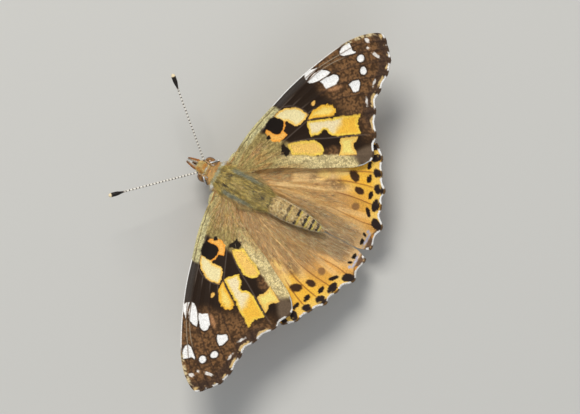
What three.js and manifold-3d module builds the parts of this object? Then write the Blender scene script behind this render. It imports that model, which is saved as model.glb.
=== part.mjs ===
// Painted lady butterfly at life size, standing with its wings spread.
// Millimetres, +Z up, head toward -Y, the soles of the feet at z = 0.
// A place on the body is given as "out", the distance from the midline, and "fore",
// the distance forward of the wing roots; side is +1 for its left and -1 for its right.
import * as THREE from 'three';
import { mergeVertices } from 'three/addons/utils/BufferGeometryUtils.js';
import Module from 'manifold-3d';

const wasm = await Module();
wasm.setup();

const { smoothstep, lerp, clamp } = THREE.MathUtils;

// Driving sizes
const seam = 0.3;              // clear gap where one part meets the next
const membrane = 0.54;         // thickness of a wing between its veins
const costaThickness = 0.8;    // thickness of a wing's stiff leading edge
const bodyHeight = 6.9;        // height of the body's axis above the floor
const thoraxHalfWidth = 3.05;
const thoraxHalfHeight = 2.5;
const abdomenHalfWidth = 1.66;
const abdomenFront = -5.4;
const abdomenTip = -15.6;
const abdomenRings = 9;
const headFore = 5.45;
const headHalf = [1.3, 1.32, 1.32];
const eyePlace = [1.36, 5.2, 6.95];
const eyeHalf = [0.86, 0.98, 1.12];

// Materials
const finish = (color, roughness) => new THREE.MeshStandardMaterial({ color, roughness, metalness: 0 });
const furBrown = finish(0x9a7a4c, 0.9);
const scaleOrange = finish(0xd8842f, 0.8);
const scaleTawny = finish(0xd9a25c, 0.8);
const eyeBrown = finish(0x6b4520, 0.25);
const hornDark = finish(0x2a211b, 0.5);
const legTan = finish(0xb59a6c, 0.6);

// Mesh helpers

function at(side, [out, fore, z]) {
  return new THREE.Vector3(side * out, -fore, z);
}

function meshVolume(geometry) {
  const p = geometry.getAttribute('position');
  const index = geometry.getIndex();
  const corner = [new THREE.Vector3(), new THREE.Vector3(), new THREE.Vector3()];
  let volume = 0;
  for (let i = 0; i < index.count; i += 3) {
    corner.forEach((c, k) => c.fromBufferAttribute(p, index.getX(i + k)));
    volume += corner[0].dot(corner[1].cross(corner[2])) / 6;
  }
  return volume;
}

// A closed mesh from points and triangles, turned so that its faces point out.
function closedMesh(points, triangles) {
  const geometry = new THREE.BufferGeometry();
  geometry.setAttribute('position', new THREE.Float32BufferAttribute(points.flatMap((v) => v.toArray()), 3));
  geometry.setIndex(triangles.flat());
  if (meshVolume(geometry) < 0) geometry.setIndex(triangles.flatMap(([a, b, c]) => [a, c, b]));
  return geometry;
}

// Rings of equal counts joined in order, with a point at the middle of each end.
function loft(rings) {
  const count = rings[0].length;
  const points = rings.flat();
  const triangles = [];
  for (let r = 0; r < rings.length - 1; r += 1) {
    for (let k = 0; k < count; k += 1) {
      const a = r * count + k;
      const b = r * count + ((k + 1) % count);
      triangles.push([a, b, b + count], [a, b + count, a + count]);
    }
  }
  const ends = [[0, 0, 1], [rings.length - 1, (rings.length - 1) * count, -1]];
  for (const [r, start, turn] of ends) {
    const middle = points.length;
    points.push(rings[r].reduce((sum, v) => sum.add(v), new THREE.Vector3()).divideScalar(count));
    for (let k = 0; k < count; k += 1) {
      const a = start + k;
      const b = start + ((k + 1) % count);
      triangles.push(turn > 0 ? [middle, b, a] : [middle, a, b]);
    }
  }
  return closedMesh(points, triangles);
}

// A body form along the midline from stations [fore, half width, half height, z],
// grown all round by "extra".
function bodyForm(stations, sides, extra = 0) {
  const last = stations.length - 1;
  const rings = stations.map(([fore, halfWidth, halfHeight, z], i) => {
    const push = i === 0 ? extra : i === last ? -extra : 0;
    return Array.from({ length: sides }, (_, k) => {
      const angle = (2 * Math.PI * (k + 0.5)) / sides;
      const out = (halfWidth + extra) * Math.cos(angle);
      const up = (halfHeight + extra) * Math.sin(angle);
      return new THREE.Vector3(out, -(fore + push), z + up);
    });
  });
  return loft(rings);
}

function ellipsoid(side, place, half, extra = 0, detail = 16) {
  const ball = new THREE.SphereGeometry(1, detail, Math.round(detail * 0.7));
  ball.rotateX(Math.PI / 2);
  ball.scale(half[0] + extra, half[1] + extra, half[2] + extra);
  const centre = at(side, place);
  ball.translate(centre.x, centre.y, centre.z);
  ball.deleteAttribute('normal');
  ball.deleteAttribute('uv');
  return mergeVertices(ball, 1e-4);
}

// A tapering limb of round or oval section through stations [out, fore, z, radius].
// "across" is the level direction square to the limb's own plane. Nothing passes the floor.
function limb(side, stations, across, sides = 8, tall = 1) {
  const path = stations.map((s) => at(side, s));
  const level = at(side, [across[0], across[1], 0]).normalize();
  const last = path.length - 1;
  const rings = path.map((point, i) => {
    const tangent = path[Math.min(i + 1, last)].clone().sub(path[Math.max(i - 1, 0)]).normalize();
    const u = level.clone().addScaledVector(tangent, -level.dot(tangent)).normalize();
    const v = tangent.clone().cross(u);
    const radius = stations[i][3];
    return Array.from({ length: sides }, (_, k) => {
      const angle = (2 * Math.PI * (k + 0.5)) / sides;
      const corner = point.clone();
      corner.addScaledVector(u, radius * Math.cos(angle));
      corner.addScaledVector(v, radius * tall * Math.sin(angle));
      corner.z = Math.max(corner.z, 0);
      return corner;
    });
  });
  return loft(rings);
}

function solidOf(geometry) {
  return new wasm.Manifold(new wasm.Mesh({
    numProp: 3,
    vertProperties: new Float32Array(geometry.getAttribute('position').array),
    triVerts: new Uint32Array(geometry.getIndex().array),
  }));
}

// What is left of a form once the grown forms beside it are cut away: its largest piece.
function cutClear(form, ...neighbours) {
  const rest = neighbours.reduce((solid, other) => solid.subtract(solidOf(other)), solidOf(form));
  const pieces = rest.decompose().sort((a, b) => b.volume() - a.volume());
  const { vertProperties, triVerts } = pieces[0].getMesh();
  const geometry = new THREE.BufferGeometry();
  geometry.setAttribute('position', new THREE.Float32BufferAttribute(vertProperties, 3));
  geometry.setIndex(Array.from(triVerts));
  return geometry;
}

const butterfly = new THREE.Group();

function add(name, geometry, material) {
  geometry.computeVertexNormals();
  const mesh = new THREE.Mesh(geometry, material);
  mesh.name = name;
  butterfly.add(mesh);
}

const bothSides = [[1, 'l'], [-1, 'r']];

// Thorax: the furred trunk that carries wings and legs
const thoraxStations = [
  [4.35, 0.42, 0.42, -0.35],
  [4.0, 0.66, 0.64, -0.3],
  [3.2, 0.82, 0.83, -0.12],
  [1.8, 0.96, 0.97, 0],
  [0.2, 1, 1, 0],
  [-1.5, 0.97, 0.99, 0],
  [-3.0, 0.86, 0.91, 0],
  [-4.2, 0.73, 0.77, 0],
  [-5.0, 0.58, 0.62, 0.05],
  [-5.4, 0.44, 0.48, 0.08],
].map(([fore, wide, high, rise]) => [
  fore, wide * thoraxHalfWidth, high * thoraxHalfHeight, bodyHeight + rise,
]);
const thoraxSides = 20;
const thoraxGrown = bodyForm(thoraxStations, thoraxSides, seam);
add('thorax', bodyForm(thoraxStations, thoraxSides), furBrown);

// Abdomen: rings that swell a little between their joints
const abdomenSides = 18;
const abdomenRingSwell = 0.03;
const abdomenWidest = 0.27;    // how far along it is widest
const abdomenTaper = 0.75;     // how far the taper behind the widest ring runs
const abdomenBluntness = 0.8;  // lower makes a blunter tip
const abdomenWaist = 0.16;     // share of the width lost where it joins the thorax
const abdomenFlatness = 0.93;  // height against width
const abdomenLift = 0.12;      // how far its front lies above the body's axis
const abdomenSag = 0.25;       // how far its tip hangs
function abdomenWidth(t) {
  const behind = clamp((t - abdomenWidest) / abdomenTaper, 0, 1);
  const ahead = clamp((abdomenWidest - t) / abdomenWidest, 0, 1);
  return abdomenHalfWidth * (1 - behind ** 2) ** abdomenBluntness * (1 - abdomenWaist * ahead ** 2);
}
const abdomenSteps = abdomenRings * 2;
const abdomenStations = Array.from({ length: abdomenSteps + 1 }, (_, i) => {
  const t = i / abdomenSteps;
  const width = abdomenWidth(t) * (1 + (i % 2 ? abdomenRingSwell : -abdomenRingSwell));
  const fore = lerp(abdomenFront, abdomenTip, t);
  return [fore, width, width * abdomenFlatness, bodyHeight + abdomenLift - abdomenSag * t * t];
});
const abdomenGrown = bodyForm(abdomenStations, abdomenSides, seam);
add('abdomen', cutClear(bodyForm(abdomenStations, abdomenSides), thoraxGrown), furBrown);

// Head: a round capsule with the large eyes set into its sides
const headPlace = [0, headFore, bodyHeight - 0.1];
const headGrown = ellipsoid(1, headPlace, headHalf, seam);
const eyesGrown = bothSides.map(([side]) => ellipsoid(side, eyePlace, eyeHalf, seam));
add('head', cutClear(ellipsoid(1, headPlace, headHalf, 0, 20), thoraxGrown, ...eyesGrown), furBrown);
for (const [side, mark] of bothSides) {
  add(`eye_${mark}`, cutClear(ellipsoid(side, eyePlace, eyeHalf), thoraxGrown), eyeBrown);
}

// Palps: a pair of oval feelers that point forward and up before the face
const palpTall = 1.45;         // height of its oval section against width
const palpStations = [
  [0.5, 5.9, 6.0, 0.2],
  [0.58, 6.5, 6.15, 0.29],
  [0.56, 7.1, 6.45, 0.31],
  [0.48, 7.7, 6.8, 0.28],
  [0.38, 8.25, 7.15, 0.22],
  [0.28, 8.7, 7.45, 0.1],
];
for (const [side, mark] of bothSides) {
  const form = limb(side, palpStations, [1, 0], 8, palpTall);
  add(`palp_${mark}`, cutClear(form, headGrown, ellipsoid(side, eyePlace, eyeHalf, seam)), furBrown);
}

// Antennae: straight shafts that end in a small flat club
const antennaRoot = [0.7, 6.0, 7.3];
const antennaTip = [10.7, 16.75, 12.4];
const antennaShaft = 0.26;
const antennaClub = 0.4;
const antennaSteps = 14;
const antennaRise = 0.7;
const antennaStations = Array.from({ length: antennaSteps + 1 }, (_, i) => {
  const t = i / antennaSteps;
  const bow = antennaRise * Math.sin(Math.PI * t);
  const place = antennaRoot.map((start, k) => lerp(start, antennaTip[k], t));
  const club = smoothstep(t, 0.84, 0.92) * (1 - smoothstep(t, 0.95, 1.03));
  place[2] += bow;
  return [...place, lerp(antennaShaft, antennaClub, club) * (i === antennaSteps ? 0.6 : 1)];
});
for (const [side, mark] of bothSides) {
  const form = limb(side, antennaStations, [1, -1]);
  add(`antenna_${mark}`, cutClear(form, headGrown, ellipsoid(side, eyePlace, eyeHalf, seam)), hornDark);
}

// Proboscis: coiled up like a watch spring under the palps
const coilCentre = [0, 6.55, 4.75];
const coilTurns = 1.6;
const coilSteps = 26;
const coilInner = 0.32;
const coilPitch = 0.84;        // growth of the coil's radius in one turn
const coilStart = 0.62;        // angle of its outer end, in half turns from straight ahead
const tongueRadius = 0.26;
const coilStations = Array.from({ length: coilSteps + 1 }, (_, i) => {
  const turn = (coilTurns * i) / coilSteps;
  const radius = coilInner + coilPitch * turn;
  const angle = Math.PI * (coilStart + 2 * (coilTurns - turn));
  return [
    0,
    coilCentre[1] + radius * Math.cos(angle),
    coilCentre[2] + radius * Math.sin(angle),
    tongueRadius,
  ];
});
const palpsGrown = bothSides.map(([side]) => limb(
  side, palpStations.map(([out, fore, z, radius]) => [out, fore, z, radius + seam]), [1, 0], 8, palpTall,
));
add('proboscis', cutClear(limb(1, coilStations, [1, 0]), headGrown, thoraxGrown, ...palpsGrown), hornDark);

// Wings: each is a fan of lines from the hinge to the outer margin. A line is the leading
// edge, a vein or the trailing edge, as [out, fore] places seen from above. "from" is how far
// out the vein starts to stand above the membrane, and "dent" is the notch in the margin
// between it and the next vein.
const foreWing = {
  rows: 16,
  edge: [
    [1.9, 2.1], [3.2, 2.3], [5, 2.42], [9, 1.9], [13, 0.87], [17, -0.2], [21, -1.65],
    [25, -3.42], [28, -5.1], [30, -6.85], [31.25, -8.7], [31.35, -9.45],
  ],
  veins: [
    { from: 2, dent: [30.3, -10.65], line: [
      [1.9, 1.8], [5, 1.75], [9, 1.2], [13, 0.25], [17, -0.95], [21, -2.35], [24, -3.95],
      [25.6, -4.95], [27.5, -6.15], [28.8, -7.35], [29.8, -8.8], [30.75, -10.35]] },
    { from: 2, dent: [29.1, -11.75], line: [
      [1.9, 1.5], [5, 1.0], [9, 0.4], [12, -0.2], [14, -0.7], [17, -1.6], [19.5, -2.4],
      [21.4, -3.1], [23, -3.95], [24.6, -5.05], [26.8, -7.1], [28, -8.6], [29.85, -11.15]] },
    { from: 15.2, dent: [27.3, -12.6], line: [
      [1.9, 1.2], [6, 0.1], [10, -0.8], [14, -1.75], [17.5, -2.95], [20.3, -4.0],
      [22.1, -5.05], [23.5, -6.3], [25, -7.9], [26.5, -9.7], [28.4, -12.35]] },
    { from: 15.2, dent: [24.6, -12.85], line: [
      [1.9, 0.95], [6, -0.45], [10, -1.65], [14, -3.0], [17.5, -4.5], [19.6, -5.6],
      [21, -6.6], [22.3, -7.9], [23.5, -9.4], [25, -11.4], [26.3, -12.95]] },
    { from: 15.0, dent: [21.8, -13.0], line: [
      [1.9, 0.7], [6, -1.0], [10, -2.6], [13, -3.8], [15.1, -4.75], [16.8, -5.6],
      [18.5, -7.0], [20.5, -9.3], [22, -11.2], [23.3, -13.15]] },
    { from: 2, dent: [18.7, -14.5], line: [
      [1.9, 0.45], [4, -0.3], [6, -1.5], [8.3, -2.75], [9.5, -3.4], [11, -4.0],
      [12.5, -4.6], [14.1, -5.3], [15.7, -7.2], [17, -9.2], [18.8, -11.9], [20.3, -14]] },
    { from: 9.2, dent: [15.5, -16.05], line: [
      [1.9, 0.2], [4, -0.8], [6, -2.2], [8, -3.5], [9.6, -4.35], [11.3, -6.3], [13, -9.1],
      [14.5, -11.4], [16, -13.7], [17.1, -15.75]] },
    { from: 2, line: [
      [1.9, -0.05], [3.7, -1.1], [5.0, -2.5], [6.3, -4.4], [8, -7.2], [9.5, -9.3],
      [11, -11.6], [12.2, -13.4], [13, -14.7], [14.2, -16.85]] },
  ],
  inner: [
    [1.9, -0.35], [3.3, -1.6], [4.3, -2.8], [5.3, -4.4], [6.2, -6], [7, -7.6], [8, -9.7],
    [9.2, -11.7], [10.3, -13.8], [11, -15], [12, -16.1], [13.2, -16.9],
  ],
  // The wing rises outward, sags toward its tip and is bowed across.
  height: (out, fore) => 8.3 + 0.212 * (out - 3) - 0.002 * (out - 3) ** 2 - 0.005 * (fore + 5) ** 2,
};

const hindWing = {
  rows: 15,
  edge: [
    [1.7, -1.2], [3.2, -1.6], [5, -2.4], [7.5, -4.2], [10, -6.6], [12.3, -9.3], [14.3, -12.3],
    [15.6, -14.8], [16.0, -16.4],
  ],
  veins: [
    { from: 2, dent: [14.95, -17.75], line: [
      [1.7, -1.7], [4, -3.0], [7, -5.6], [10, -8.9], [12.5, -12.2], [14.5, -14.9], [15.8, -16.8]] },
    { from: 5.6, dent: [13.15, -18.7], line: [
      [1.7, -2.1], [4, -4.0], [6.5, -6.9], [9, -10.3], [11.5, -14], [13, -16.4], [14.3, -18.4]] },
    { from: 5.6, dent: [11.0, -20.0], line: [
      [1.7, -2.5], [3.8, -4.8], [6, -8], [8.3, -11.8], [10.3, -15], [11.5, -17.5],
      [12.15, -19.45]] },
    { from: 4.8, dent: [8.8, -21.05], line: [
      [1.7, -2.9], [3.5, -5.6], [5.5, -9], [7.2, -12], [8.5, -14.8], [9.2, -17.1], [9.6, -18.9],
      [10, -21.15]] },
    { from: 2, dent: [6.15, -22.05], line: [
      [1.7, -3.3], [3.2, -6.2], [4.6, -9.4], [5.7, -12.4], [6.5, -15.2], [6.95, -17.8],
      [7.15, -19.9], [7.5, -21.8]] },
    { from: 2.6, dent: [3.0, -23.0], line: [
      [1.7, -3.7], [2.8, -6.8], [3.5, -10], [3.8, -13.5], [3.95, -17], [4.0, -19.8],
      [4.25, -21.3], [4.75, -23.4]] },
    { from: 0, line: [
      [1.7, -4.1], [2.1, -7.2], [1.9, -10.5], [1.6, -14], [1.35, -18], [1.15, -21], [1.1, -23.5]] },
  ],
  inner: [
    [1.7, -4.5], [1.6, -6.5], [1.1, -8.5], [0.62, -10.5], [0.34, -13], [0.2, -16], [0.16, -19],
    [0.2, -21.5], [0.6, -22.9],
  ],
  // Beside the abdomen the wing dips into a trough that passes under it.
  height: (out, fore) => {
    const trough = 2.1 * Math.exp(-((out / 2.7) ** 2)) * smoothstep(-fore, 3.2, 9);
    return 7.15 + 0.15 * (out - 2.5) - trough - 0.003 * (fore + 9) ** 2;
  },
};

const ridgeHeight = 0.14;      // how far a vein stands above the membrane
const ridgeFoot = 0.34;        // from a vein's crest to where it meets the membrane
const ridgeSlope = 1.2;        // length over which a vein rises out of the membrane
const ridgeTaper = 0.35;       // share of its height that a vein has lost at the margin
const dentStart = 0.8;         // how far along the veins the notches of the margin begin

function smoothLine(points) {
  const places = points.map(([out, fore]) => new THREE.Vector3(out, fore, 0));
  return new THREE.CatmullRomCurve3(places, false, 'centripetal');
}

// One row of the fan: places and half thicknesses from the leading to the trailing edge.
function wingRow(lines, wing, t) {
  const crests = lines.veins.map((curve) => curve.getPointAt(t));
  const row = [[lines.edge.getPointAt(t), costaThickness / 2]];
  const flat = membrane / 2;
  let before = row[0][0];
  crests.forEach((crest, i) => {
    const { from, dent } = wing.veins[i];
    const risen = smoothstep(crest.x, from - ridgeSlope / 2, from + ridgeSlope / 2);
    const rise = ridgeHeight * risen * (1 - ridgeTaper * t);
    let after;
    if (dent) {
      const ends = [lines.veins[i].getPointAt(1), lines.veins[i + 1].getPointAt(1)];
      const chord = ends[0].add(ends[1]).multiplyScalar(0.5);
      const pull = new THREE.Vector3(...dent, 0).sub(chord).multiplyScalar(smoothstep(t, dentStart, 1));
      after = crest.clone().add(crests[i + 1]).multiplyScalar(0.5).add(pull);
    } else {
      after = lines.inner.getPointAt(t);
    }
    const foot = (beside) => crest.clone().lerp(beside, clamp(ridgeFoot / crest.distanceTo(beside), 0, 0.42));
    row.push([foot(before), flat], [crest, flat + rise], [foot(after), flat]);
    row.push([after, flat]);
    before = after;
  });
  return row;
}

function wingForm(side, wing) {
  const lines = {
    edge: smoothLine(wing.edge),
    veins: wing.veins.map(({ line }) => smoothLine(line)),
    inner: smoothLine(wing.inner),
  };
  const rows = Array.from({ length: wing.rows + 1 }, (_, r) => wingRow(lines, wing, r / wing.rows));
  const count = rows[0].length;
  const place = (face) => rows.flat().map(([point, half]) => at(side, [
    point.x, point.y, wing.height(point.x, point.y) + face * half,
  ]));
  const points = [...place(1), ...place(-1)];
  const under = rows.length * count;
  const triangles = [];
  for (let r = 0; r < rows.length - 1; r += 1) {
    for (let k = 0; k < count - 1; k += 1) {
      const a = r * count + k;
      const b = a + count;
      triangles.push([a, a + 1, b + 1], [a, b + 1, b]);
      triangles.push([under + a, under + b + 1, under + a + 1], [under + a, under + b, under + b + 1]);
    }
  }
  const rim = [];
  for (let k = 0; k < count - 1; k += 1) rim.push(k);
  for (let r = 0; r < rows.length - 1; r += 1) rim.push(r * count + count - 1);
  for (let k = count - 1; k > 0; k -= 1) rim.push((rows.length - 1) * count + k);
  for (let r = rows.length - 1; r > 0; r -= 1) rim.push(r * count);
  rim.forEach((a, i) => {
    const b = rim[(i + 1) % rim.length];
    triangles.push([a, under + a, under + b], [a, under + b, b]);
  });
  return closedMesh(points, triangles);
}

for (const [side, mark] of bothSides) {
  add(`forewing_${mark}`, cutClear(wingForm(side, foreWing), thoraxGrown), scaleOrange);
  add(`hindwing_${mark}`, cutClear(wingForm(side, hindWing), thoraxGrown, abdomenGrown), scaleTawny);
}

// Legs: the front pair is small and folded up, the other two pairs stand on the floor
const legs = {
  foreleg: { across: [1, 0.4], stations: [
    [0.8, 2.7, 5.4, 0.3],
    [1.25, 3.1, 4.4, 0.3],
    [1.5, 3.7, 3.8, 0.28],
    [1.55, 4.5, 4.0, 0.25],
    [1.45, 5.1, 4.5, 0.25],
    [1.35, 5.4, 4.9, 0.18],
  ] },
  midleg: { across: [0.05, 1], stations: [
    [1.1, 0.6, 5.6, 0.42],
    [1.9, 0.7, 4.6, 0.4],
    [3.3, 0.9, 4.75, 0.36],
    [4.6, 1.0, 5.0, 0.33],
    [5.05, 1.0, 4.75, 0.32],
    [5.6, 0.95, 3.6, 0.29],
    [6.3, 0.8, 1.9, 0.27],
    [6.75, 0.7, 0.7, 0.26],
    [7.1, 0.6, 0.24, 0.26],
    [7.9, 0.4, 0.2, 0.25],
    [8.8, 0.15, 0.2, 0.25],
    [9.2, 0.05, 0.16, 0.17],
  ] },
  hindleg: { across: [-0.95, 0.5], stations: [
    [1.0, -2.2, 5.5, 0.42],
    [1.6, -3.1, 4.5, 0.4],
    [2.6, -4.6, 4.5, 0.36],
    [3.6, -6.1, 4.7, 0.33],
    [3.8, -6.5, 4.45, 0.32],
    [4.2, -7.4, 3.3, 0.29],
    [4.7, -8.6, 1.6, 0.27],
    [5.0, -9.3, 0.7, 0.26],
    [5.15, -9.75, 0.24, 0.26],
    [5.5, -10.7, 0.2, 0.25],
    [5.9, -11.8, 0.2, 0.25],
    [6.05, -12.2, 0.16, 0.17],
  ] },
};
for (const [name, { across, stations }] of Object.entries(legs)) {
  for (const [side, mark] of bothSides) {
    add(`${name}_${mark}`, cutClear(limb(side, stations, across), thoraxGrown), legTan);
  }
}

// The origin is on the floor at the middle of the whole butterfly.
const bounds = new THREE.Box3().setFromObject(butterfly);
const middle = bounds.getCenter(new THREE.Vector3());
for (const mesh of butterfly.children) mesh.geometry.translate(0, -middle.y, -bounds.min.z);

export default butterfly;
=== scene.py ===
import bpy
import bmesh
import math
import numpy as np
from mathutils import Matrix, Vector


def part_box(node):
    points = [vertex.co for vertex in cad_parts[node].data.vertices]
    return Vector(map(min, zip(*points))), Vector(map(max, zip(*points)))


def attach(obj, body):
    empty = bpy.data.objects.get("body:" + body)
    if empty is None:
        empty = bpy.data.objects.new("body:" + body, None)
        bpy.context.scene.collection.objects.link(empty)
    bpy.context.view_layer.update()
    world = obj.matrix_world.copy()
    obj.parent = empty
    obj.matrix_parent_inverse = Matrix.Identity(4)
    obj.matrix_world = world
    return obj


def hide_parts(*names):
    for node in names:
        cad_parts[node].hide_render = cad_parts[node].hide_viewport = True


# Painted lady butterfly, wings spread. A place on the body is "out" from the midline and
# "fore" of the wing roots, in millimetres, as on the solids. side is +1 for its left.

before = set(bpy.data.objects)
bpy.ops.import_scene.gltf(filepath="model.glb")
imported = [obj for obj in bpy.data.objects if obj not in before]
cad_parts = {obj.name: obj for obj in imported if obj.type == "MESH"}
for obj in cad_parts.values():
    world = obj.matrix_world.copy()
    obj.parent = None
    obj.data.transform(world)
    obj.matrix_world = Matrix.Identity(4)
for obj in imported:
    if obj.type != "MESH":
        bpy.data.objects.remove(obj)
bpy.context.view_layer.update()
metre = 0.001
thoraxFront = 4.35
foreShift = -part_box("thorax")[0][1] / metre - thoraxFront
random = np.random.default_rng(7)
bothSides = ((1, "l"), (-1, "r"))


# Places, lines and noise

def place(side, out, fore, z):
    spots = np.broadcast_arrays(side * np.asarray(out, float), -np.asarray(fore) - foreShift, z)
    return np.stack(spots, -1) * metre


def smoothStep(value, low, high):
    t = np.clip((value - low) / (high - low), 0, 1)
    return t * t * (3 - 2 * t)


def spread(points, knots, at):
    slope = np.gradient(points, knots, axis=0)
    i = np.clip(np.searchsorted(knots, at, side="right") - 1, 0, len(knots) - 2)
    width = (knots[i + 1] - knots[i]).reshape((-1,) + (1,) * (points.ndim - 1))
    t = ((at - knots[i]) / (knots[i + 1] - knots[i])).reshape(width.shape)
    a, b = points[i], points[i + 1]
    ta, tb = slope[i] * width, slope[i + 1] * width
    return (a * (2 * t**3 - 3 * t**2 + 1) + ta * (t**3 - 2 * t**2 + t)
            + b * (3 * t**2 - 2 * t**3) + tb * (t**3 - t**2))


def smoothLine(points, count):
    points = np.array(points, float)
    knots = np.append(0, np.cumsum(np.sqrt(np.linalg.norm(np.diff(points, axis=0), axis=1))))
    fine = spread(points, knots, np.linspace(0, knots[-1], 600))
    length = np.append(0, np.cumsum(np.linalg.norm(np.diff(fine, axis=0), axis=1)))
    even = np.linspace(0, length[-1], count)
    return np.stack([np.interp(even, length, fine[:, k]) for k in range(points.shape[1])], 1)


def noise(spots, size, seed):
    p = spots / size
    cell = np.floor(p).astype(np.int64)
    f = p - cell
    f = f * f * (3 - 2 * f)
    total = 0
    for corner in np.ndindex(*(2,) * spots.shape[1]):
        key = np.full(len(spots), seed * 7919, np.int64)
        weight = 1.0
        for k, step in enumerate(corner):
            key = key * 73856093 + (cell[:, k] + step) * 19349663
            key ^= key >> 13
            weight = weight * (f[:, k] if step else 1 - f[:, k])
        key = (key * 83492791) & 0xFFFFFF
        total = total + weight * key / 0xFFFFFF
    return total * 2 - 1


def inside(spots, outline):
    outline = np.array(outline, float)
    a, b = outline, np.roll(outline, -1, 0)
    best = np.full(len(spots), 1e9)
    odd = np.zeros(len(spots), bool)
    for p, q in zip(a, b):
        line = q - p
        t = np.clip(((spots - p) @ line) / max(line @ line, 1e-12), 0, 1)
        best = np.minimum(best, np.linalg.norm(spots - p - t[:, None] * line, axis=1))
        crosses = (p[1] > spots[:, 1]) != (q[1] > spots[:, 1])
        reach = p[0] + (spots[:, 1] - p[1]) * line[0] / (line[1] if line[1] else 1e-12)
        odd ^= crosses & (spots[:, 0] < reach)
    return np.where(odd, best, -best)


def nearest(spots, line, chunk=8000):
    best = [np.linalg.norm(spots[i:i + chunk, None] - line[None], axis=2).min(1)
            for i in range(0, len(spots), chunk)]
    return np.concatenate(best)


def linear(colour):
    c = np.asarray(colour, float) / 255
    return np.where(c <= 0.04045, c / 12.92, ((c + 0.055) / 1.055) ** 2.4)


# A paint is a name from the paints below, or a colour itself, as red, green, blue up to 255
def paintColour(paint):
    return np.array(paints[paint] if isinstance(paint, str) else paint, float)


def plain(paint, spots):
    return np.tile(paintColour(paint), (len(spots), 1))


def lay(colours, paint, mask):
    colours += (paintColour(paint) - colours) * np.clip(mask, 0, 1)[:, None]


def stripe(distance, width):
    return np.exp(-(distance / width) ** 2)


# Materials

def newMaterial(name):
    material = bpy.data.materials.new(name)
    material.use_nodes = True
    shader = material.node_tree.nodes["Principled BSDF"]
    return material, material.node_tree, shader


def addNode(tree, kind, **values):
    node = tree.nodes.new(kind)
    for key, value in values.items():
        if key in node.inputs:
            node.inputs[key].default_value = value
        else:
            setattr(node, key, value)
    return node


def paintedMaterial(name, roughness, sheen, grain, grainDepth, colourGrain=0.18, shine=0.15):
    material, tree, shader = newMaterial(name)
    link = tree.links.new
    paint = addNode(tree, "ShaderNodeAttribute", attribute_name="paint")
    place3d = addNode(tree, "ShaderNodeTexCoord")
    speck = addNode(tree, "ShaderNodeTexNoise", Scale=grain, Detail=3.0, Roughness=0.7)
    link(place3d.outputs["Object"], speck.inputs["Vector"])
    depth = addNode(tree, "ShaderNodeMath", operation="MULTIPLY")    # alpha is the strength of the flecks
    link(paint.outputs["Alpha"], depth.inputs[0])
    depth.inputs[1].default_value = colourGrain * 4
    centred = addNode(tree, "ShaderNodeMath", operation="SUBTRACT")
    link(speck.outputs["Fac"], centred.inputs[0])
    centred.inputs[1].default_value = 0.5
    tone = addNode(tree, "ShaderNodeMath", operation="MULTIPLY_ADD")
    link(centred.outputs["Value"], tone.inputs[0])
    link(depth.outputs["Value"], tone.inputs[1])
    tone.inputs[2].default_value = 1.0
    shade = addNode(tree, "ShaderNodeVectorMath", operation="SCALE")
    link(paint.outputs["Color"], shade.inputs[0])
    link(tone.outputs["Value"], shade.inputs["Scale"])
    link(shade.outputs["Vector"], shader.inputs["Base Color"])
    bump = addNode(tree, "ShaderNodeBump", Strength=0.6, Distance=grainDepth)
    link(speck.outputs["Fac"], bump.inputs["Height"])
    link(bump.outputs["Normal"], shader.inputs["Normal"])
    shader.inputs["Roughness"].default_value = roughness
    shader.inputs["Sheen Weight"].default_value = sheen
    shader.inputs["Specular IOR Level"].default_value = shine
    return material


def setPaint(mesh, colours, fleck=1.0):
    layer = mesh.color_attributes.new("paint", "FLOAT_COLOR", "POINT")
    rgba = np.ones((len(mesh.vertices), 4), np.float32)
    rgba[:, :3] = linear(np.clip(colours, 0, 255))
    rgba[:, 3] = fleck
    layer.data.foreach_set("color", rgba.ravel())


def meshSpots(mesh):
    spots = np.empty(len(mesh.vertices) * 3, np.float32)
    mesh.vertices.foreach_get("co", spots)
    return spots.reshape(-1, 3).astype(float)


def bodySpots(spots, side):
    across, back, z = spots.T
    return np.stack([side * across / metre, -back / metre - foreShift, z / metre], 1)


def newGrid(columns, rows):
    bm = bmesh.new()
    bmesh.ops.create_grid(bm, x_segments=columns, y_segments=rows, size=0.5)
    uv = bm.loops.layers.uv.new("OFBake")
    for face in bm.faces:
        for loop in face.loops:
            loop[uv].uv = (loop.vert.co.x + 0.5, loop.vert.co.y + 0.5)
    return bm


def smoothFaces(mesh):
    mesh.polygons.foreach_set("use_smooth", np.ones(len(mesh.polygons), bool))


def newPiece(name, mesh, material, slot, *nodes):
    piece = bpy.data.objects.new(name, mesh)
    bpy.context.scene.collection.objects.link(piece)
    mesh.materials.append(material)
    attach(piece, "root")
    if nodes:
        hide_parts(*nodes)


# Camera, floor and lights

view = {
    "originPx": (236.1, 185.0),      # where out = fore = 0 shows in the 580 by 414 picture
    "pxPerMm": 6.4,
    "roll": 27.7,                    # degrees from the picture's left to the head's direction
    "distance": 0.8,
    "subjectHeight": 0.009,
}
roll = math.radians(view["roll"])
right = (580 / 2 - view["originPx"][0]) / view["pxPerMm"]
down = (414 / 2 - view["originPx"][1]) / view["pxPerMm"]
aimOut = right * math.sin(roll) - down * math.cos(roll)
aimFore = -right * math.cos(roll) - down * math.sin(roll)
camera = bpy.data.objects.new("camera", bpy.data.cameras.new("camera"))
bpy.context.scene.collection.objects.link(camera)
camera.location = place(-1, aimOut, aimFore, 0) + np.array([0, 0, view["distance"]])
camera.rotation_euler = (0, 0, math.radians(90) + roll)
camera.data.sensor_width = 36
frameWidth = 580 / view["pxPerMm"] * metre
camera.data.lens = 36 * (view["distance"] - view["subjectHeight"]) / frameWidth
camera.data.clip_start = 0.01
bpy.context.scene.camera = camera


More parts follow.
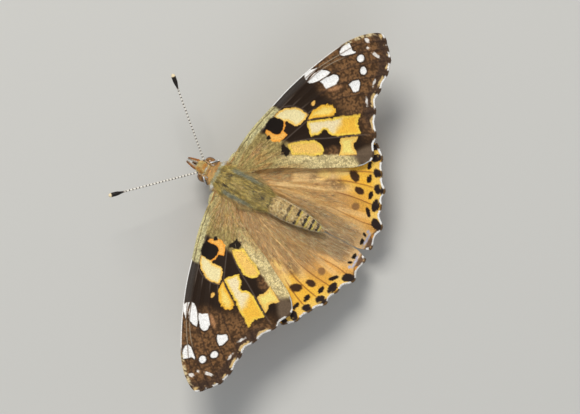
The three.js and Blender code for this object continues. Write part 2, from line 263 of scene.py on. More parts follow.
def makeFloor():
    mesh = bpy.data.meshes.new("floor")
    bm = bmesh.new()
    bmesh.ops.create_grid(bm, x_segments=2, y_segments=2, size=2.0)
    bm.to_mesh(mesh)
    bm.free()
    floor = bpy.data.objects.new("floor", mesh)
    bpy.context.scene.collection.objects.link(floor)
    material, _, shader = newMaterial("paleFloor")
    shader.inputs["Base Color"].default_value = (0.6, 0.6, 0.58, 1)
    shader.inputs["Roughness"].default_value = 0.9
    mesh.materials.append(material)


def makeLight(name, where, size, watts, colour):
    lamp = bpy.data.lights.new(name, "AREA")
    lamp.size = size
    lamp.energy = watts
    lamp.color = colour
    light = bpy.data.objects.new(name, lamp)
    light.location = where
    aim = -np.array(where, float)
    tilt = math.atan2(math.hypot(aim[0], aim[1]), -aim[2])
    turn = math.atan2(aim[1], aim[0]) - math.pi / 2
    light.rotation_euler = (tilt, 0, turn)
    bpy.context.scene.collection.objects.link(light)


makeFloor()
makeLight("key", (-0.3, -0.32, 0.6), 0.28, 3.9, (1.0, 0.965, 0.9))
makeLight("fill", (0.45, 0.35, 0.5), 0.6, 0.9, (0.93, 0.96, 1.0))
world = bpy.data.worlds.new("studio")
bpy.context.scene.world = world
world.use_nodes = True
world.node_tree.nodes["Background"].inputs["Color"].default_value = (0.95, 0.97, 1.0, 1)
world.node_tree.nodes["Background"].inputs["Strength"].default_value = 0.36
bpy.context.scene.view_settings.view_transform = "Standard"
print("camera, floor and lights set")


# Wings: a fan of lines from the hinge to the outer margin, as in the solids. Each vein gives
# how far out it starts to show, the bottom of the notch in the margin after it, and its line.

foreWing = {
    "rows": 286, "columns": 158, "thickness": 0.1, "seed": 3,
    "height": lambda out, fore: (8.3 + 0.212 * (out - 3) - 0.002 * (out - 3) ** 2
                                 - 0.005 * (fore + 5) ** 2),
    "edge": [(1.9, 2.1), (3.2, 2.3), (5, 2.42), (9, 1.9), (13, 0.87), (17, -0.2), (21, -1.65),
             (25, -3.42), (28, -5.1), (30, -6.85), (31.25, -8.7), (31.35, -9.45)],
    "veins": [
        (2, (30.3, -10.65), [(1.9, 1.8), (5, 1.75), (9, 1.2), (13, 0.25), (17, -0.95), (21, -2.35),
                             (24, -3.95), (25.6, -4.95), (27.5, -6.15), (28.8, -7.35), (29.8, -8.8),
                             (30.75, -10.35)]),
        (2, (29.1, -11.75), [(1.9, 1.5), (5, 1.0), (9, 0.4), (12, -0.2), (14, -0.7), (17, -1.6),
                             (19.5, -2.4), (21.4, -3.1), (23, -3.95), (24.6, -5.05), (26.8, -7.1),
                             (28, -8.6), (29.85, -11.15)]),
        (15.2, (27.3, -12.6), [(1.9, 1.2), (6, 0.1), (10, -0.8), (14, -1.75), (17.5, -2.95),
                               (20.3, -4.0), (22.1, -5.05), (23.5, -6.3), (25, -7.9), (26.5, -9.7),
                               (28.4, -12.35)]),
        (15.2, (24.6, -12.85), [(1.9, 0.95), (6, -0.45), (10, -1.65), (14, -3.0), (17.5, -4.5),
                                (19.6, -5.6), (21, -6.6), (22.3, -7.9), (23.5, -9.4), (25, -11.4),
                                (26.3, -12.95)]),
        (15.0, (21.8, -13.0), [(1.9, 0.7), (6, -1.0), (10, -2.6), (13, -3.8), (15.1, -4.75),
                               (16.8, -5.6), (18.5, -7.0), (20.5, -9.3), (22, -11.2), (23.3, -13.15)]),
        (2, (18.7, -14.5), [(1.9, 0.45), (4, -0.3), (6, -1.5), (8.3, -2.75), (9.5, -3.4), (11, -4.0),
                            (12.5, -4.6), (14.1, -5.3), (15.7, -7.2), (17, -9.2), (18.8, -11.9),
                            (20.3, -14)]),
        (9.2, (15.5, -16.05), [(1.9, 0.2), (4, -0.8), (6, -2.2), (8, -3.5), (9.6, -4.35), (11.3, -6.3),
                               (13, -9.1), (14.5, -11.4), (16, -13.7), (17.1, -15.75)]),
        (2, None, [(1.9, -0.05), (3.7, -1.1), (5.0, -2.5), (6.3, -4.4), (8, -7.2), (9.5, -9.3),
                   (11, -11.6), (12.2, -13.4), (13, -14.7), (14.2, -16.85)]),
    ],
    "inner": [(1.9, -0.35), (3.3, -1.6), (4.3, -2.8), (5.3, -4.4), (6.2, -6), (7, -7.6), (8, -9.7),
              (9.2, -11.7), (10.3, -13.8), (11, -15), (12, -16.1), (13.2, -16.9)],
    "cellEnd": [(14.1, -0.75), (14.9, -1.9), (15.2, -3.2), (15.1, -4.5), (14.3, -5.25)],
}

hindWing = {
    "rows": 216, "columns": 176, "thickness": 0.1, "seed": 5,
    "height": lambda out, fore: (7.15 + 0.15 * (out - 2.5) - 0.003 * (fore + 9) ** 2
                                 - 2.1 * np.exp(-((out / 2.7) ** 2)) * smoothStep(-fore, 3.2, 9)),
    "edge": [(1.7, -1.2), (3.2, -1.6), (5, -2.4), (7.5, -4.2), (10, -6.6), (12.3, -9.3),
             (14.3, -12.3), (15.6, -14.8), (16.0, -16.4)],
    "veins": [
        (2, (14.95, -17.75), [(1.7, -1.7), (4, -3.0), (7, -5.6), (10, -8.9), (12.5, -12.2),
                              (14.5, -14.9), (15.8, -16.8)]),
        (5.6, (13.15, -18.7), [(1.7, -2.1), (4, -4.0), (6.5, -6.9), (9, -10.3), (11.5, -14),
                               (13, -16.4), (14.3, -18.4)]),
        (5.6, (11.0, -20.0), [(1.7, -2.5), (3.8, -4.8), (6, -8), (8.3, -11.8), (10.3, -15),
                              (11.5, -17.5), (12.15, -19.45)]),
        (4.8, (8.8, -21.05), [(1.7, -2.9), (3.5, -5.6), (5.5, -9), (7.2, -12), (8.5, -14.8),
                              (9.2, -17.1), (9.6, -18.9), (10, -21.15)]),
        (2, (6.15, -22.05), [(1.7, -3.3), (3.2, -6.2), (4.6, -9.4), (5.7, -12.4), (6.5, -15.2),
                             (6.95, -17.8), (7.15, -19.9), (7.5, -21.8)]),
        (2.6, (3.0, -23.0), [(1.7, -3.7), (2.8, -6.8), (3.5, -10), (3.8, -13.5), (3.95, -17),
                             (4.0, -19.8), (4.25, -21.3), (4.75, -23.4)]),
        (0, None, [(1.7, -4.1), (2.1, -7.2), (1.9, -10.5), (1.6, -14), (1.35, -18), (1.15, -21),
                   (1.1, -23.5)]),
    ],
    "inner": [(1.7, -4.5), (1.6, -6.5), (1.1, -8.5), (0.6, -10.5), (0.3, -13), (0.14, -16),
              (0.1, -19), (0.16, -21.5), (0.6, -22.9)],
    "cellEnd": [],
}

relief = {"veinRise": 0.05, "veinWidth": 0.13, "pleat": 0.1}


def wingSheet(wing):
    t = np.linspace(0, 1, wing["rows"] + 1)
    edge = smoothLine(wing["edge"], len(t))
    inner = smoothLine(wing["inner"], len(t))
    lines = [smoothLine(line, len(t)) for _, _, line in wing["veins"]]
    columns = [edge]
    for i, (_, dent, _) in enumerate(wing["veins"]):
        columns.append(lines[i])
        if dent:
            middle = (lines[i] + lines[i + 1]) / 2
            middle = middle + np.outer(smoothStep(t, 0.8, 1), np.array(dent) - middle[-1])
            columns.append(middle)
    columns = np.array(columns + [inner])
    gap = np.linalg.norm(np.diff(columns, axis=0), axis=2)
    knots = np.append(0, np.cumsum(gap.mean(1) ** 0.8))
    across = np.linspace(0, knots[-1], wing["columns"] + 1)
    return spread(columns, knots, across), lines, edge, inner


def buildWing(name, side, wing, paintTop, paintUnder, slot, node):
    rows, columns = wing["rows"], wing["columns"]
    sheet, lines, edge, inner = wingSheet(wing)
    mesh = bpy.data.meshes.new(name)
    bm = newGrid(columns, rows)
    bm.to_mesh(mesh)
    unit = meshSpots(mesh)[:, :2] + 0.5
    column = np.rint(unit[:, 0] * columns).astype(int)
    row = np.rint(unit[:, 1] * rows).astype(int)
    plan = sheet[column, row]
    shown = [line[line[:, 0] > start] for (start, _, _), line in zip(wing["veins"], lines)]
    if wing["cellEnd"]:
        shown.append(smoothLine(wing["cellEnd"], 60))
    veinLine = np.concatenate(shown)
    vein = np.minimum(nearest(plan, veinLine), nearest(plan, edge))
    z = wing["height"](plan[:, 0], plan[:, 1])
    z = z - relief["pleat"] * smoothStep(vein, 0, 1.1)
    lift = relief["veinRise"] * np.exp(-(vein / relief["veinWidth"]) ** 2)
    top = place(side, plan[:, 0], plan[:, 1], z + wing["thickness"] / 2 + lift)
    bm.verts.ensure_lookup_table()
    for vert, spot in zip(bm.verts, top):
        vert.co = spot
    if side < 0:
        bmesh.ops.reverse_faces(bm, faces=bm.faces[:])
    bmesh.ops.solidify(bm, geom=bm.faces[:], thickness=wing["thickness"] * metre)
    bmesh.ops.recalc_face_normals(bm, faces=bm.faces[:])
    bm.to_mesh(mesh)
    bm.free()
    spots = bodySpots(meshSpots(mesh), side)
    flat = spots[:, :2]
    facts = {
        "vein": np.minimum(nearest(flat, veinLine), nearest(flat, edge)),
        "edge": nearest(flat, edge),
        "inner": nearest(flat, inner),
        "margin": nearest(flat, sheet[:, -1]),
        "tooth": nearest(flat, np.array([line[-1] for line in lines])),
    }
    middle = wing["height"](flat[:, 0], flat[:, 1]) - relief["pleat"] * smoothStep(facts["vein"], 0, 1.1)
    isTop = spots[:, 2] > middle
    facts["fleck"] = np.ones(len(flat))
    colours = np.where(isTop[:, None], paintTop(flat, facts), paintUnder(flat, facts))
    setPaint(mesh, colours, facts["fleck"])
    smoothFaces(mesh)
    newPiece(name, mesh, wingScales, slot, node)


# Forewing markings, as outlines on its upper side

foreMarks = {
    "blackSpot": [(9.95, 0.1), (10.6, 0.25), (11.7, 0.15), (12.15, -0.4), (12.3, -1.2), (12.3, -1.8),
                  (11.8, -2.15), (11, -2.4), (10.3, -2.3), (9.95, -2), (9.85, -1.3), (9.9, -0.5)],
    "cellPatch": [(12.05, -0.4), (12.6, -0.3), (13.3, -0.6), (14, -1), (14.55, -1.75), (15, -2.65),
                  (15.2, -3.4), (15.1, -4.4), (15, -4.85), (14.1, -4.8), (13.3, -4.55), (12.65, -4.2),
                  (12.4, -3.9), (12.55, -3.1), (12.5, -2.3), (12.2, -1.7)],
    "crescent": [(9.9, -0.1), (9.3, -0.3), (9.1, -0.8), (8.8, -1.4), (8.6, -1.9), (8.85, -2.55),
                 (9.35, -3.05), (10, -3.3), (10.65, -3.4), (10.9, -3), (11, -2.7), (11.55, -2.6),
                 (12.2, -2.2), (12.3, -1.85), (11.8, -2.15), (11, -2.4), (10.3, -2.3), (9.95, -2),
                 (9.85, -1.3), (9.95, -0.5)],
    "basalSpot": [(7.5, -4), (8.1, -3.7), (8.8, -3.4), (9.25, -3.45), (9, -4.1), (8.7, -5), (8, -5.2),
                  (7.6, -4.9)],
    "longOrange": [(9.3, -4.1), (9.75, -4.35), (10.5, -5.45), (11.2, -6.5), (11.85, -7.45), (11.93, -8),
                   (11.78, -8.85), (11.45, -9.45), (11.05, -9.7), (10.5, -9.6), (9.95, -9.2), (9.4, -8.3),
                   (8.95, -7), (8.4, -6.05), (8.08, -5.5), (8.6, -5.15), (8.9, -4.55)],
    "band": [(12.2, -6.85), (12.65, -6.2), (13.2, -5.65), (13.75, -5.3), (14, -5.3), (14.6, -6.1),
             (15.3, -7.1), (16, -8.15), (16.9, -9.3), (17.6, -10.3), (18.3, -11.2), (18.65, -12),
             (17.95, -12.2), (17.25, -12.35), (16.85, -12.85), (16.4, -13.35), (16.1, -13.55),
             (15.6, -12.8), (15, -11.8), (14.25, -10.7), (13.8, -9.8), (13.9, -9), (14.15, -8.5),
             (13.95, -8.1), (13.4, -8), (12.9, -7.7), (12.45, -7.15)],
    "outerOrange": [(14.3, -5.2), (15.05, -5.15), (15.9, -5.2), (16.6, -5.65), (17.3, -6.2),
                    (17.75, -6.8), (17.95, -7.6), (17.65, -8.2), (17.2, -8.5), (16.65, -8.4),
                    (16.2, -7.9), (15.55, -6.95), (14.95, -6.05)],
    "tornusOrange": [(11.6, -12.1), (12.5, -11.85), (13.1, -11.6), (13.4, -11.2), (14.05, -11.1),
                     (14.55, -11.75), (15.1, -12.6), (15.65, -13.4), (14.95, -13.5), (14.25, -13.25),
                     (13.9, -13.35), (13.6, -13.65), (13.3, -14.2), (13, -14.45), (12.6, -14.15),
                     (12.1, -13.2)],
}
foreWhites = [
    [(19.6, -2.1), (19.8, -1.7), (20.15, -1.4), (21.1, -1.8), (22, -2.7), (21.5, -2.72), (20.7, -2.35)],
    [(19.35, -2.4), (20, -2.45), (20.9, -2.7), (21.7, -3.1), (22.1, -3.6), (22.35, -4.3),
     (22.35, -4.85), (21.8, -4.7), (21, -4.2), (20.2, -3.75), (19.6, -3.2), (19.35, -2.8)],
    [(20.35, -4.15), (20.8, -4.3), (21.6, -4.9), (22.1, -5.3), (22.4, -5.8), (22.4, -6.25),
     (21.95, -6.55), (21.2, -6.55), (20.5, -6.1), (19.75, -5.45), (20.05, -5), (20.28, -4.65)],
    [(25.4, -4.95), (25.9, -4.65), (26.6, -4.65), (27.4, -5), (27.8, -5.3), (27.35, -5.9),
     (26.95, -6.25), (26.98, -6.85), (26.75, -6.85), (26.15, -6.2), (25.6, -5.6)],
    [(21.35, -9.4), (21.75, -8.85), (22.05, -8.35), (22.55, -8.45), (23.1, -8.95), (23.38, -9.3),
     (23.15, -9.7), (22.55, -9.97), (21.9, -10.1), (21.45, -9.8)],
]
# Round and oval spots: (out, fore, half length, half width, turn in degrees)
foreSpots = [(26.45, -8.05, 0.58, 0.55, 0), (24.95, -9.3, 0.64, 0.5, 20)]
foreSpecks = [(29.35, -7.65, 0.34, 0.24, 60), (28.45, -8.3, 0.34, 0.22, -50),
              (28.0, -9.95, 0.55, 0.22, 85), (24.2, -11.65, 0.58, 0.17, 5), (21.0, -11.95, 0.6, 0.2, 25)]


paints = {
    # Ground and marks of the upper forewing
    "ground": (38, 24, 12), "brown": (100, 71, 44), "rust": (164, 118, 72), "dusk": (60, 45, 38),
    "black": (24, 15, 8), "white": (252, 251, 248), "cream": (232, 214, 168), "umber": (70, 46, 30),
    # the grey of the painted sheen along the costa
    "costaSheen": (66, 60, 56), "smear": (206, 150, 104), "outerDot": (246, 190, 96),
    "bandRear": (250, 192, 68),
    # Its gold dusted base and rear edge
    "olive": (158, 138, 84), "moss": (98, 84, 52), "straw": (204, 186, 122), "warmStreak": (186, 136, 76),
    "rearStraw": (232, 212, 156), "costaPale": (206, 198, 150), "tornus": (106, 88, 70),
    "rearBorder": (206, 212, 216),
    # Veins and fringe
    "veinGrey": (118, 108, 104), "veinDark": (44, 30, 24), "veinPlum": (92, 54, 42),
    "veinPale": (196, 178, 150), "hindVein": (116, 62, 30), "fringeBrown": (78, 58, 40),
    "foreLining": (238, 204, 138), "hindLining": (251, 206, 110),
    # Upper hindwing
    "tan": (232, 190, 124), "greyTan": (222, 186, 134), "rearTan": (240, 178, 92),
    "hindOrange": (253, 190, 60), "streakDark": (172, 122, 66), "streakPale": (238, 204, 150),
    "blush": (255, 212, 126), "smudge": (120, 88, 58), "marginCell": (252, 210, 112),
    "faintSpot": (128, 92, 58), "discalSpot": (56, 34, 20), "innerSpot": (34, 23, 18),
    "marginSpot": (42, 31, 27), "cornerDusk": (104, 76, 58), "cornerOrange": (236, 160, 60),
    "lilac": (190, 188, 206),
    # Undersides
    "rose": (240, 158, 118), "underOlive": (150, 126, 82), "underCream": (226, 212, 180),
    "underBrown": (106, 82, 54), "eyeBlue": (92, 122, 160), "eyeYellow": (226, 188, 96),
}
# Orange marks: colour of the rim, colour of the middle, depth at which the middle begins
foreFills = {
    "crescent": ((246, 164, 62), (250, 184, 88), 0.25),
    "longOrange": ((250, 210, 88), (248, 200, 106), 0.45),
    "band": ((252, 208, 78), (246, 226, 180), 0.4),
    "outerOrange": ((248, 188, 60), (251, 218, 118), 0.6),
    "tornusOrange": ((246, 198, 98), (251, 226, 128), 0.5),
    "cellPatch": ((250, 200, 98), (243, 227, 172), 0.3),
}


# Soft patches, as ovals
forePatches = {
    "browned": (11.6, -10.9, 1.5, 0.8, -50),
    "smear": (20.4, -6.6, 1.1, 0.36, -50),
    "dusting": (8.3, -7.4, 1.7, 0.8, -58),
    "dustedOrange": (8.5, -7.6, 1.6, 0.75, -58),
    "outerDot": (16.9, -4.72, 0.42, 0.32, 0),
    "costaDot": (8.85, -1.05, 0.36, 0.26, 0),
}


def oval(spots, centre):
    out, fore, long, wide, turn = centre
    c, s = math.cos(math.radians(turn)), math.sin(math.radians(turn))
    d = spots - np.array([out, fore])
    along = (d[:, 0] * c + d[:, 1] * s) / long
    across = (-d[:, 0] * s + d[:, 1] * c) / wide
    return (1 - np.hypot(along, across)) * min(long, wide)


def cover(depth, soft=0.07):
    return smoothStep(depth, -soft, soft)


def streaked(spots, hinge, size, stretch, seed):
    d = spots - np.array(hinge)
    reach = np.linalg.norm(d, axis=1)
    turn = np.arctan2(d[:, 1], d[:, 0])
    return noise(np.stack([turn * 9 / size, reach / (size * stretch)], 1), 1.0, seed)


def grizzle(spots, colours, amount, seed):
    fleck = 0.6 * noise(spots, 0.24, seed) + 0.6 * streaked(spots, (0, 1), 0.22, 2.5, seed + 9)
    lay(colours, "moss", cover(fleck - 0.18, 0.2) * amount)
    lay(colours, "straw", cover(-fleck - 0.2, 0.2) * amount)


def foreGround(spots, facts, seed):
    out, fore = spots.T
    wobble = noise(spots, 0.5, seed) * 0.09 + noise(spots, 0.16, seed + 1) * 0.07
    cloud = noise(spots, 1.6, seed + 2)
    colours = plain("ground", spots)
    outer = smoothStep(out - 0.3 * fore + 0.8 * cloud, 19.2, 22.6)
    outer = np.maximum(outer, 0.8 * cover(oval(spots, forePatches["browned"]) + wobble, 0.4))
    lay(colours, "brown", outer)
    fleck = noise(spots, 0.24, seed + 3) + 0.3 * noise(spots, 0.6, seed + 4)
    lay(colours, "rust", 0.45 * outer * cover(fleck - 0.25, 0.35))
    lay(colours, "ground", 0.45 * outer * cover(-fleck - 0.25, 0.35))
    dusk = cover(1.5 - facts["margin"] + 0.4 * cloud, 0.5) * smoothStep(out, 17, 19)
    lay(colours, "dusk", 0.65 * dusk)
    return colours, wobble


def paintForeTop(spots, facts):
    out, fore = spots.T
    seed = 11
    colours, wobble = foreGround(spots, facts, seed)
    vein = stripe(facts["vein"], 0.1)
    dark = cover(out - 9.0, 0.5) * (1 - smoothStep(out, 15.5, 17.5))
    lay(colours, "veinGrey", 0.6 * vein * dark)
    lay(colours, "veinDark", 0.6 * vein * smoothStep(out, 16.5, 18))
    smear = cover(oval(spots, forePatches["smear"]) + wobble, 0.3)
    lay(colours, "smear", 0.75 * smear)

    base = smoothStep(-out - 0.1 * fore + 0.35 * noise(spots, 0.7, seed + 3), -9.7, -8.7)
    base = base * (1 - smoothStep(out, 6.5, 8) * smoothStep(-fore, 7.5, 9))
    rear = cover(2.0 - facts["inner"] + wobble, 0.25) * smoothStep(-fore, 2.5, 5)
    rear = np.maximum(rear, cover(oval(spots, forePatches["dusting"]) + 2 * wobble, 0.35))
    tail = smoothStep(out - 0.5 * (fore + 15.2), 11.4, 12.6)
    lay(colours, "tornus", cover(2.4 - facts["inner"], 0.5) * smoothStep(out, 11.5, 12.6))
    lay(colours, "olive", base)
    lay(colours, "rearStraw", rear * (1 - tail) * (0.5 + 0.5 * smoothStep(out, 6, 9)))
    warm = cover(streaked(spots, (0, 1), 0.5, 6, seed + 12) - 0.25, 0.2) * (1 - smoothStep(out, 5, 9))
    lay(colours, "warmStreak", 0.6 * warm * base)
    costal = cover(1.25 - facts["edge"] + wobble, 0.2) * (1 - smoothStep(out, 13.3, 13.9))
    lay(colours, "costaPale", costal * (0.35 + 0.65 * smoothStep(out, 5.5, 7)))
    lines = cover(0.07 - np.abs(facts["edge"] - 0.42 - 0.1 * noise(spots, 0.8, seed + 13)), 0.05)
    lay(colours, "moss", 0.85 * lines * costal * smoothStep(out, 4, 6))
    grey = np.maximum(np.maximum(base, rear * (1 - tail)), costal)
    facts["fleck"] += 2.2 * grey + 0.8 * smoothStep(out, 18, 21)
    grizzle(spots, colours, 0.34 * grey, seed + 4)
    # Painted sheen: a bluish-grey lift along the costa, from out 13.4 to about 20, painted in place of
    # the light the scales reflect there
    costaSheen = cover(1.15 - facts["edge"], 0.3) * smoothStep(out, 13.4, 14.2) * (1 - smoothStep(out, 19, 21))
    lay(colours, "costaSheen", 0.85 * costaSheen)

    marks = np.full(len(spots), -9.0)
    ragged = wobble * (1 + 1.5 * smoothStep(out, 16, 18))
    fade = 1 - 0.75 * cover(oval(spots, forePatches["dustedOrange"]) + wobble, 0.4)
    for name, (rim, middle, depth) in foreFills.items():
        d = inside(spots, foreMarks[name]) + ragged
        marks = np.maximum(marks, d)
        lay(colours, rim, cover(d, 0.06) * fade)
        if name == "band":
            middle = plain(middle, spots)
            lay(middle, "bandRear", smoothStep(-fore + 0.6 * noise(spots, 0.8, seed + 6), 9.2, 10.6))
        lay(colours, middle, smoothStep(d, 0.1, depth + 0.15) * fade)
    lay(colours, "outerDot", cover(oval(spots, forePatches["outerDot"]) + wobble, 0.08))
    onMarks = stripe(facts["vein"], 0.085) * cover(marks, 0.15)
    lay(colours, "veinPlum", 0.85 * onMarks * smoothStep(out, 8, 10))
    lay(colours, "black", cover(inside(spots, foreMarks["blackSpot"]) + wobble, 0.05))
    lay(colours, "black", 0.92 * cover(inside(spots, foreMarks["basalSpot"]) + wobble, 0.1))
    lay(colours, "black", cover(oval(spots, forePatches["costaDot"]) + wobble, 0.08))

    white = np.full(len(spots), -9.0)
    for shape in foreWhites:
        white = np.maximum(white, inside(spots, shape))
    for spot in foreSpots:
        white = np.maximum(white, oval(spots, spot))
    lay(colours, "ground", 0.75 * cover(white + 0.2, 0.1) * smoothStep(out, 20.5, 22))
    lay(colours, "white", cover(white + 0.5 * wobble, 0.05))
    lay(colours, "umber", 0.75 * stripe(facts["vein"], 0.08) * cover(white, 0.1))
    pale = stripe(facts["vein"], 0.075) * smoothStep(out, 21.5, 22.5) * (1 - smoothStep(out, 25.5, 27.5))
    lay(colours, "veinPale", 0.75 * pale * cover(1.9 - facts["edge"], 0.3) * (1 - cover(white, 0.1)))
    specks = np.max([oval(spots, s) for s in foreSpecks], axis=0)
    lay(colours, "white", 0.85 * cover(specks + 1.2 * wobble, 0.07))
    rimLine = cover(0.13 - facts["edge"], 0.04)
    rimLine = rimLine * smoothStep(out, 13.0, 13.8) * (1 - smoothStep(out, 26, 27.5))
    lay(colours, "white", rimLine)
    apex = cover(0.42 - facts["edge"] + wobble, 0.12)
    apex = apex * smoothStep(out, 26.5, 28) * (1 - smoothStep(out, 30.6, 31))
    lay(colours, "cream", 0.85 * apex * cover(noise(spots, 0.22, seed + 14) + 0.3, 0.3))
    border = cover(0.14 - facts["inner"], 0.05) * smoothStep(out, 11.2, 11.8)
    lay(colours, "rearBorder", 0.9 * border)
    return fringed(spots, facts, colours, seed, "foreLining", smoothStep(out, 17, 18))


def fringed(spots, facts, colours, seed, lining, where=1.0):
    wander = 0.08 * noise(spots, 0.25, seed + 8)
    arc = cover(facts["tooth"] - 0.55 + wander, 0.1)
    lined = cover(0.6 - facts["margin"] + 2 * wander, 0.1) * cover(facts["tooth"] - 0.85 + wander, 0.15)
    lay(colours, lining, 0.85 * lined * where)
    rim = cover(0.27 - facts["margin"] + wander, 0.05)
    lay(colours, "fringeBrown", rim * 0.8)
    lay(colours, "white", rim * arc)
    return colours * (1 + 0.05 * random.normal(0, 1, len(spots))[:, None])


def paintForeUnder(spots, facts):
    out, fore = spots.T
    seed = 31
    colours, wobble = foreGround(spots, facts, seed)
    tip = smoothStep(out - 0.2 * fore + 0.5 * noise(spots, 1.2, seed), 25.5, 27.5)
    lay(colours, "underOlive", tip)
    lay(colours, "underCream", tip * cover(noise(spots, 0.8, seed + 1) - 0.15, 0.15) * 0.7)
    base = 1 - smoothStep(out, 7, 11)
    lay(colours, "rose", base)
    lay(colours, "underCream", cover(1.2 - facts["edge"], 0.3) * (1 - smoothStep(out, 18, 20)) * 0.7)
    grizzle(spots, colours, 0.5 * cover(1.2 - facts["edge"], 0.3), seed + 2)
    lay(colours, "underCream", cover(1.6 - facts["inner"], 0.4) * 0.85)
    orange = np.full(len(spots), -9.0)
    for name in ("crescent", "longOrange", "band", "outerOrange", "tornusOrange"):
        orange = np.maximum(orange, inside(spots, foreMarks[name]) + 0.15)
    lay(colours, "rose", cover(orange + wobble, 0.08))
    lay(colours, "underCream", cover(inside(spots, foreMarks["cellPatch"]) + wobble, 0.08))
    lay(colours, "black", cover(inside(spots, foreMarks["blackSpot"]) + wobble))
    lay(colours, "black", 0.7 * cover(inside(spots, foreMarks["basalSpot"]) + wobble))
    white = np.max([inside(spots, s) for s in foreWhites] + [oval(spots, s) for s in foreSpots], axis=0)
    lay(colours, "white", cover(white + 0.1 + 0.6 * wobble, 0.07))
    lay(colours, "underCream", 0.6 * stripe(facts["vein"], 0.11) * tip)
    return fringed(spots, facts, colours, seed, "cream")


# Hindwing markings

hindMarks = {
    "discal": [(9.87, -15.75, 0.92, 0.68, 60), (8.15, -17.45, 0.78, 0.52, 80),
               (12.3, -14.6, 0.75, 0.5, 60)],
    "faint": [(5.75, -18.1, 0.62, 0.58, 0)],
    "inner": [(12.35, -17.05, 0.55, 0.3, 10), (10.5, -18.05, 0.6, 0.42, 20),
              (8.38, -19.35, 0.55, 0.36, 15), (5.8, -20.3, 0.75, 0.3, 40)],
    "margin": [(13.95, -17.45, 0.72, 0.6, -30), (11.9, -18.65, 0.75, 0.58, 75),
               (9.75, -20.1, 0.85, 0.7, 70), (7.3, -20.85, 0.98, 0.58, 10), (4.7, -22.3, 1.05, 0.72, 60),
               (15.2, -16.5, 0.5, 0.45, 0)],
    "blush": [(7.8, -11.4, 1.15, 0.75, -60), (9.6, -13.8, 1.3, 0.6, -65)],
    "smudge": [(7.4, -13.8, 1.6, 0.9, -75), (11.6, -14.6, 1.2, 0.6, -55), (6.8, -10.2, 0.7, 0.35, 0)],
    "tornusBlack": [(1.35, -21.6, 0.45, 0.32, 0), (2.45, -21.5, 0.34, 0.24, 80)],
    "tornusLilac": [(1.9, -22.12, 1.1, 0.2, 0), (3.1, -21.7, 0.3, 0.18, 0)],
    "cornerDusk": [(2.1, -22.75, 1.9, 0.42, 0)],
    "cornerOrange": [(2.8, -22.75, 0.4, 0.28, 0)],
}


def paintHindTop(spots, facts):
    out, fore = spots.T
    seed = 51
    wobble = noise(spots, 0.45, seed) * 0.08 + noise(spots, 0.16, seed + 1) * 0.06

    def marks(name):
        return np.max([oval(spots, spot) for spot in hindMarks[name]], axis=0)

    colours = plain("tan", spots)
    warmth = smoothStep(out - 0.42 * (fore + 17) + 0.7 * noise(spots, 1.2, seed + 2), 5.0, 9.5)
    warmth = warmth * smoothStep(-fore, 11.5, 14.5)
    lay(colours, "rearTan", smoothStep(-fore, 14, 19) * smoothStep(out, 1.6, 3.6) * 0.9)
    lay(colours, "hindOrange", warmth)
    streak = streaked(spots, (0.5, 2.5), 0.3, 14, seed + 3)
    lay(colours, "streakDark", 0.42 * cover(streak - 0.12, 0.3) * (1 - 0.75 * warmth))
    lay(colours, "streakPale", 0.45 * cover(-streak - 0.15, 0.3) * (1 - 0.8 * warmth))
    lay(colours, "greyTan", (1 - smoothStep(out + 0.4 * streak, 1.2, 2.6)) * 0.85)
    lay(colours, "blush", 0.9 * cover(marks("blush") + wobble, 0.3))
    smudge = cover(marks("smudge") + 2 * wobble, 0.5) * cover(noise(spots, 0.3, seed + 4) + 0.5, 0.5)
    lay(colours, "smudge", 0.62 * smudge)
    outerPart = smoothStep(-fore, 12.5, 15.5) * smoothStep(out, 3.2, 4.4)
    lay(colours, "hindVein", 0.75 * stripe(facts["vein"], 0.09) * outerPart)
    cell = cover(1.5 - facts["margin"], 0.35) * cover(facts["tooth"] - 0.9, 0.3) * smoothStep(out, 4.2, 5)
    lay(colours, "marginCell", 0.6 * cell)
    lay(colours, "faintSpot", 0.75 * cover(marks("faint") + wobble, 0.15))
    lay(colours, "discalSpot", 0.95 * cover(marks("discal") + wobble, 0.12))
    lay(colours, "innerSpot", cover(marks("inner") + 1.3 * wobble, 0.07))
    lay(colours, "marginSpot", cover(marks("margin") + 1.2 * wobble, 0.07))
    lay(colours, "black", cover(marks("tornusBlack") + wobble, 0.07))
    dusk = cover(marks("cornerDusk") + wobble, 0.12)
    lay(colours, "cornerDusk", 0.9 * dusk)
    lay(colours, "lilac", 0.95 * cover(marks("tornusLilac") + wobble, 0.07))
    lay(colours, "cornerOrange", 0.9 * cover(marks("cornerOrange") + wobble, 0.08))
    return fringed(spots, facts, colours, seed, "hindLining", 0.8 * smoothStep(out, 5, 6))


# Eyespots under the hindwing: (out, fore, radius)
eyeSpots = [(13.7, -15.4, 0.55), (12.0, -16.2, 0.75), (10.1, -17.2, 0.5), (7.9, -18.3, 0.85),
            (5.5, -19.1, 0.8)]


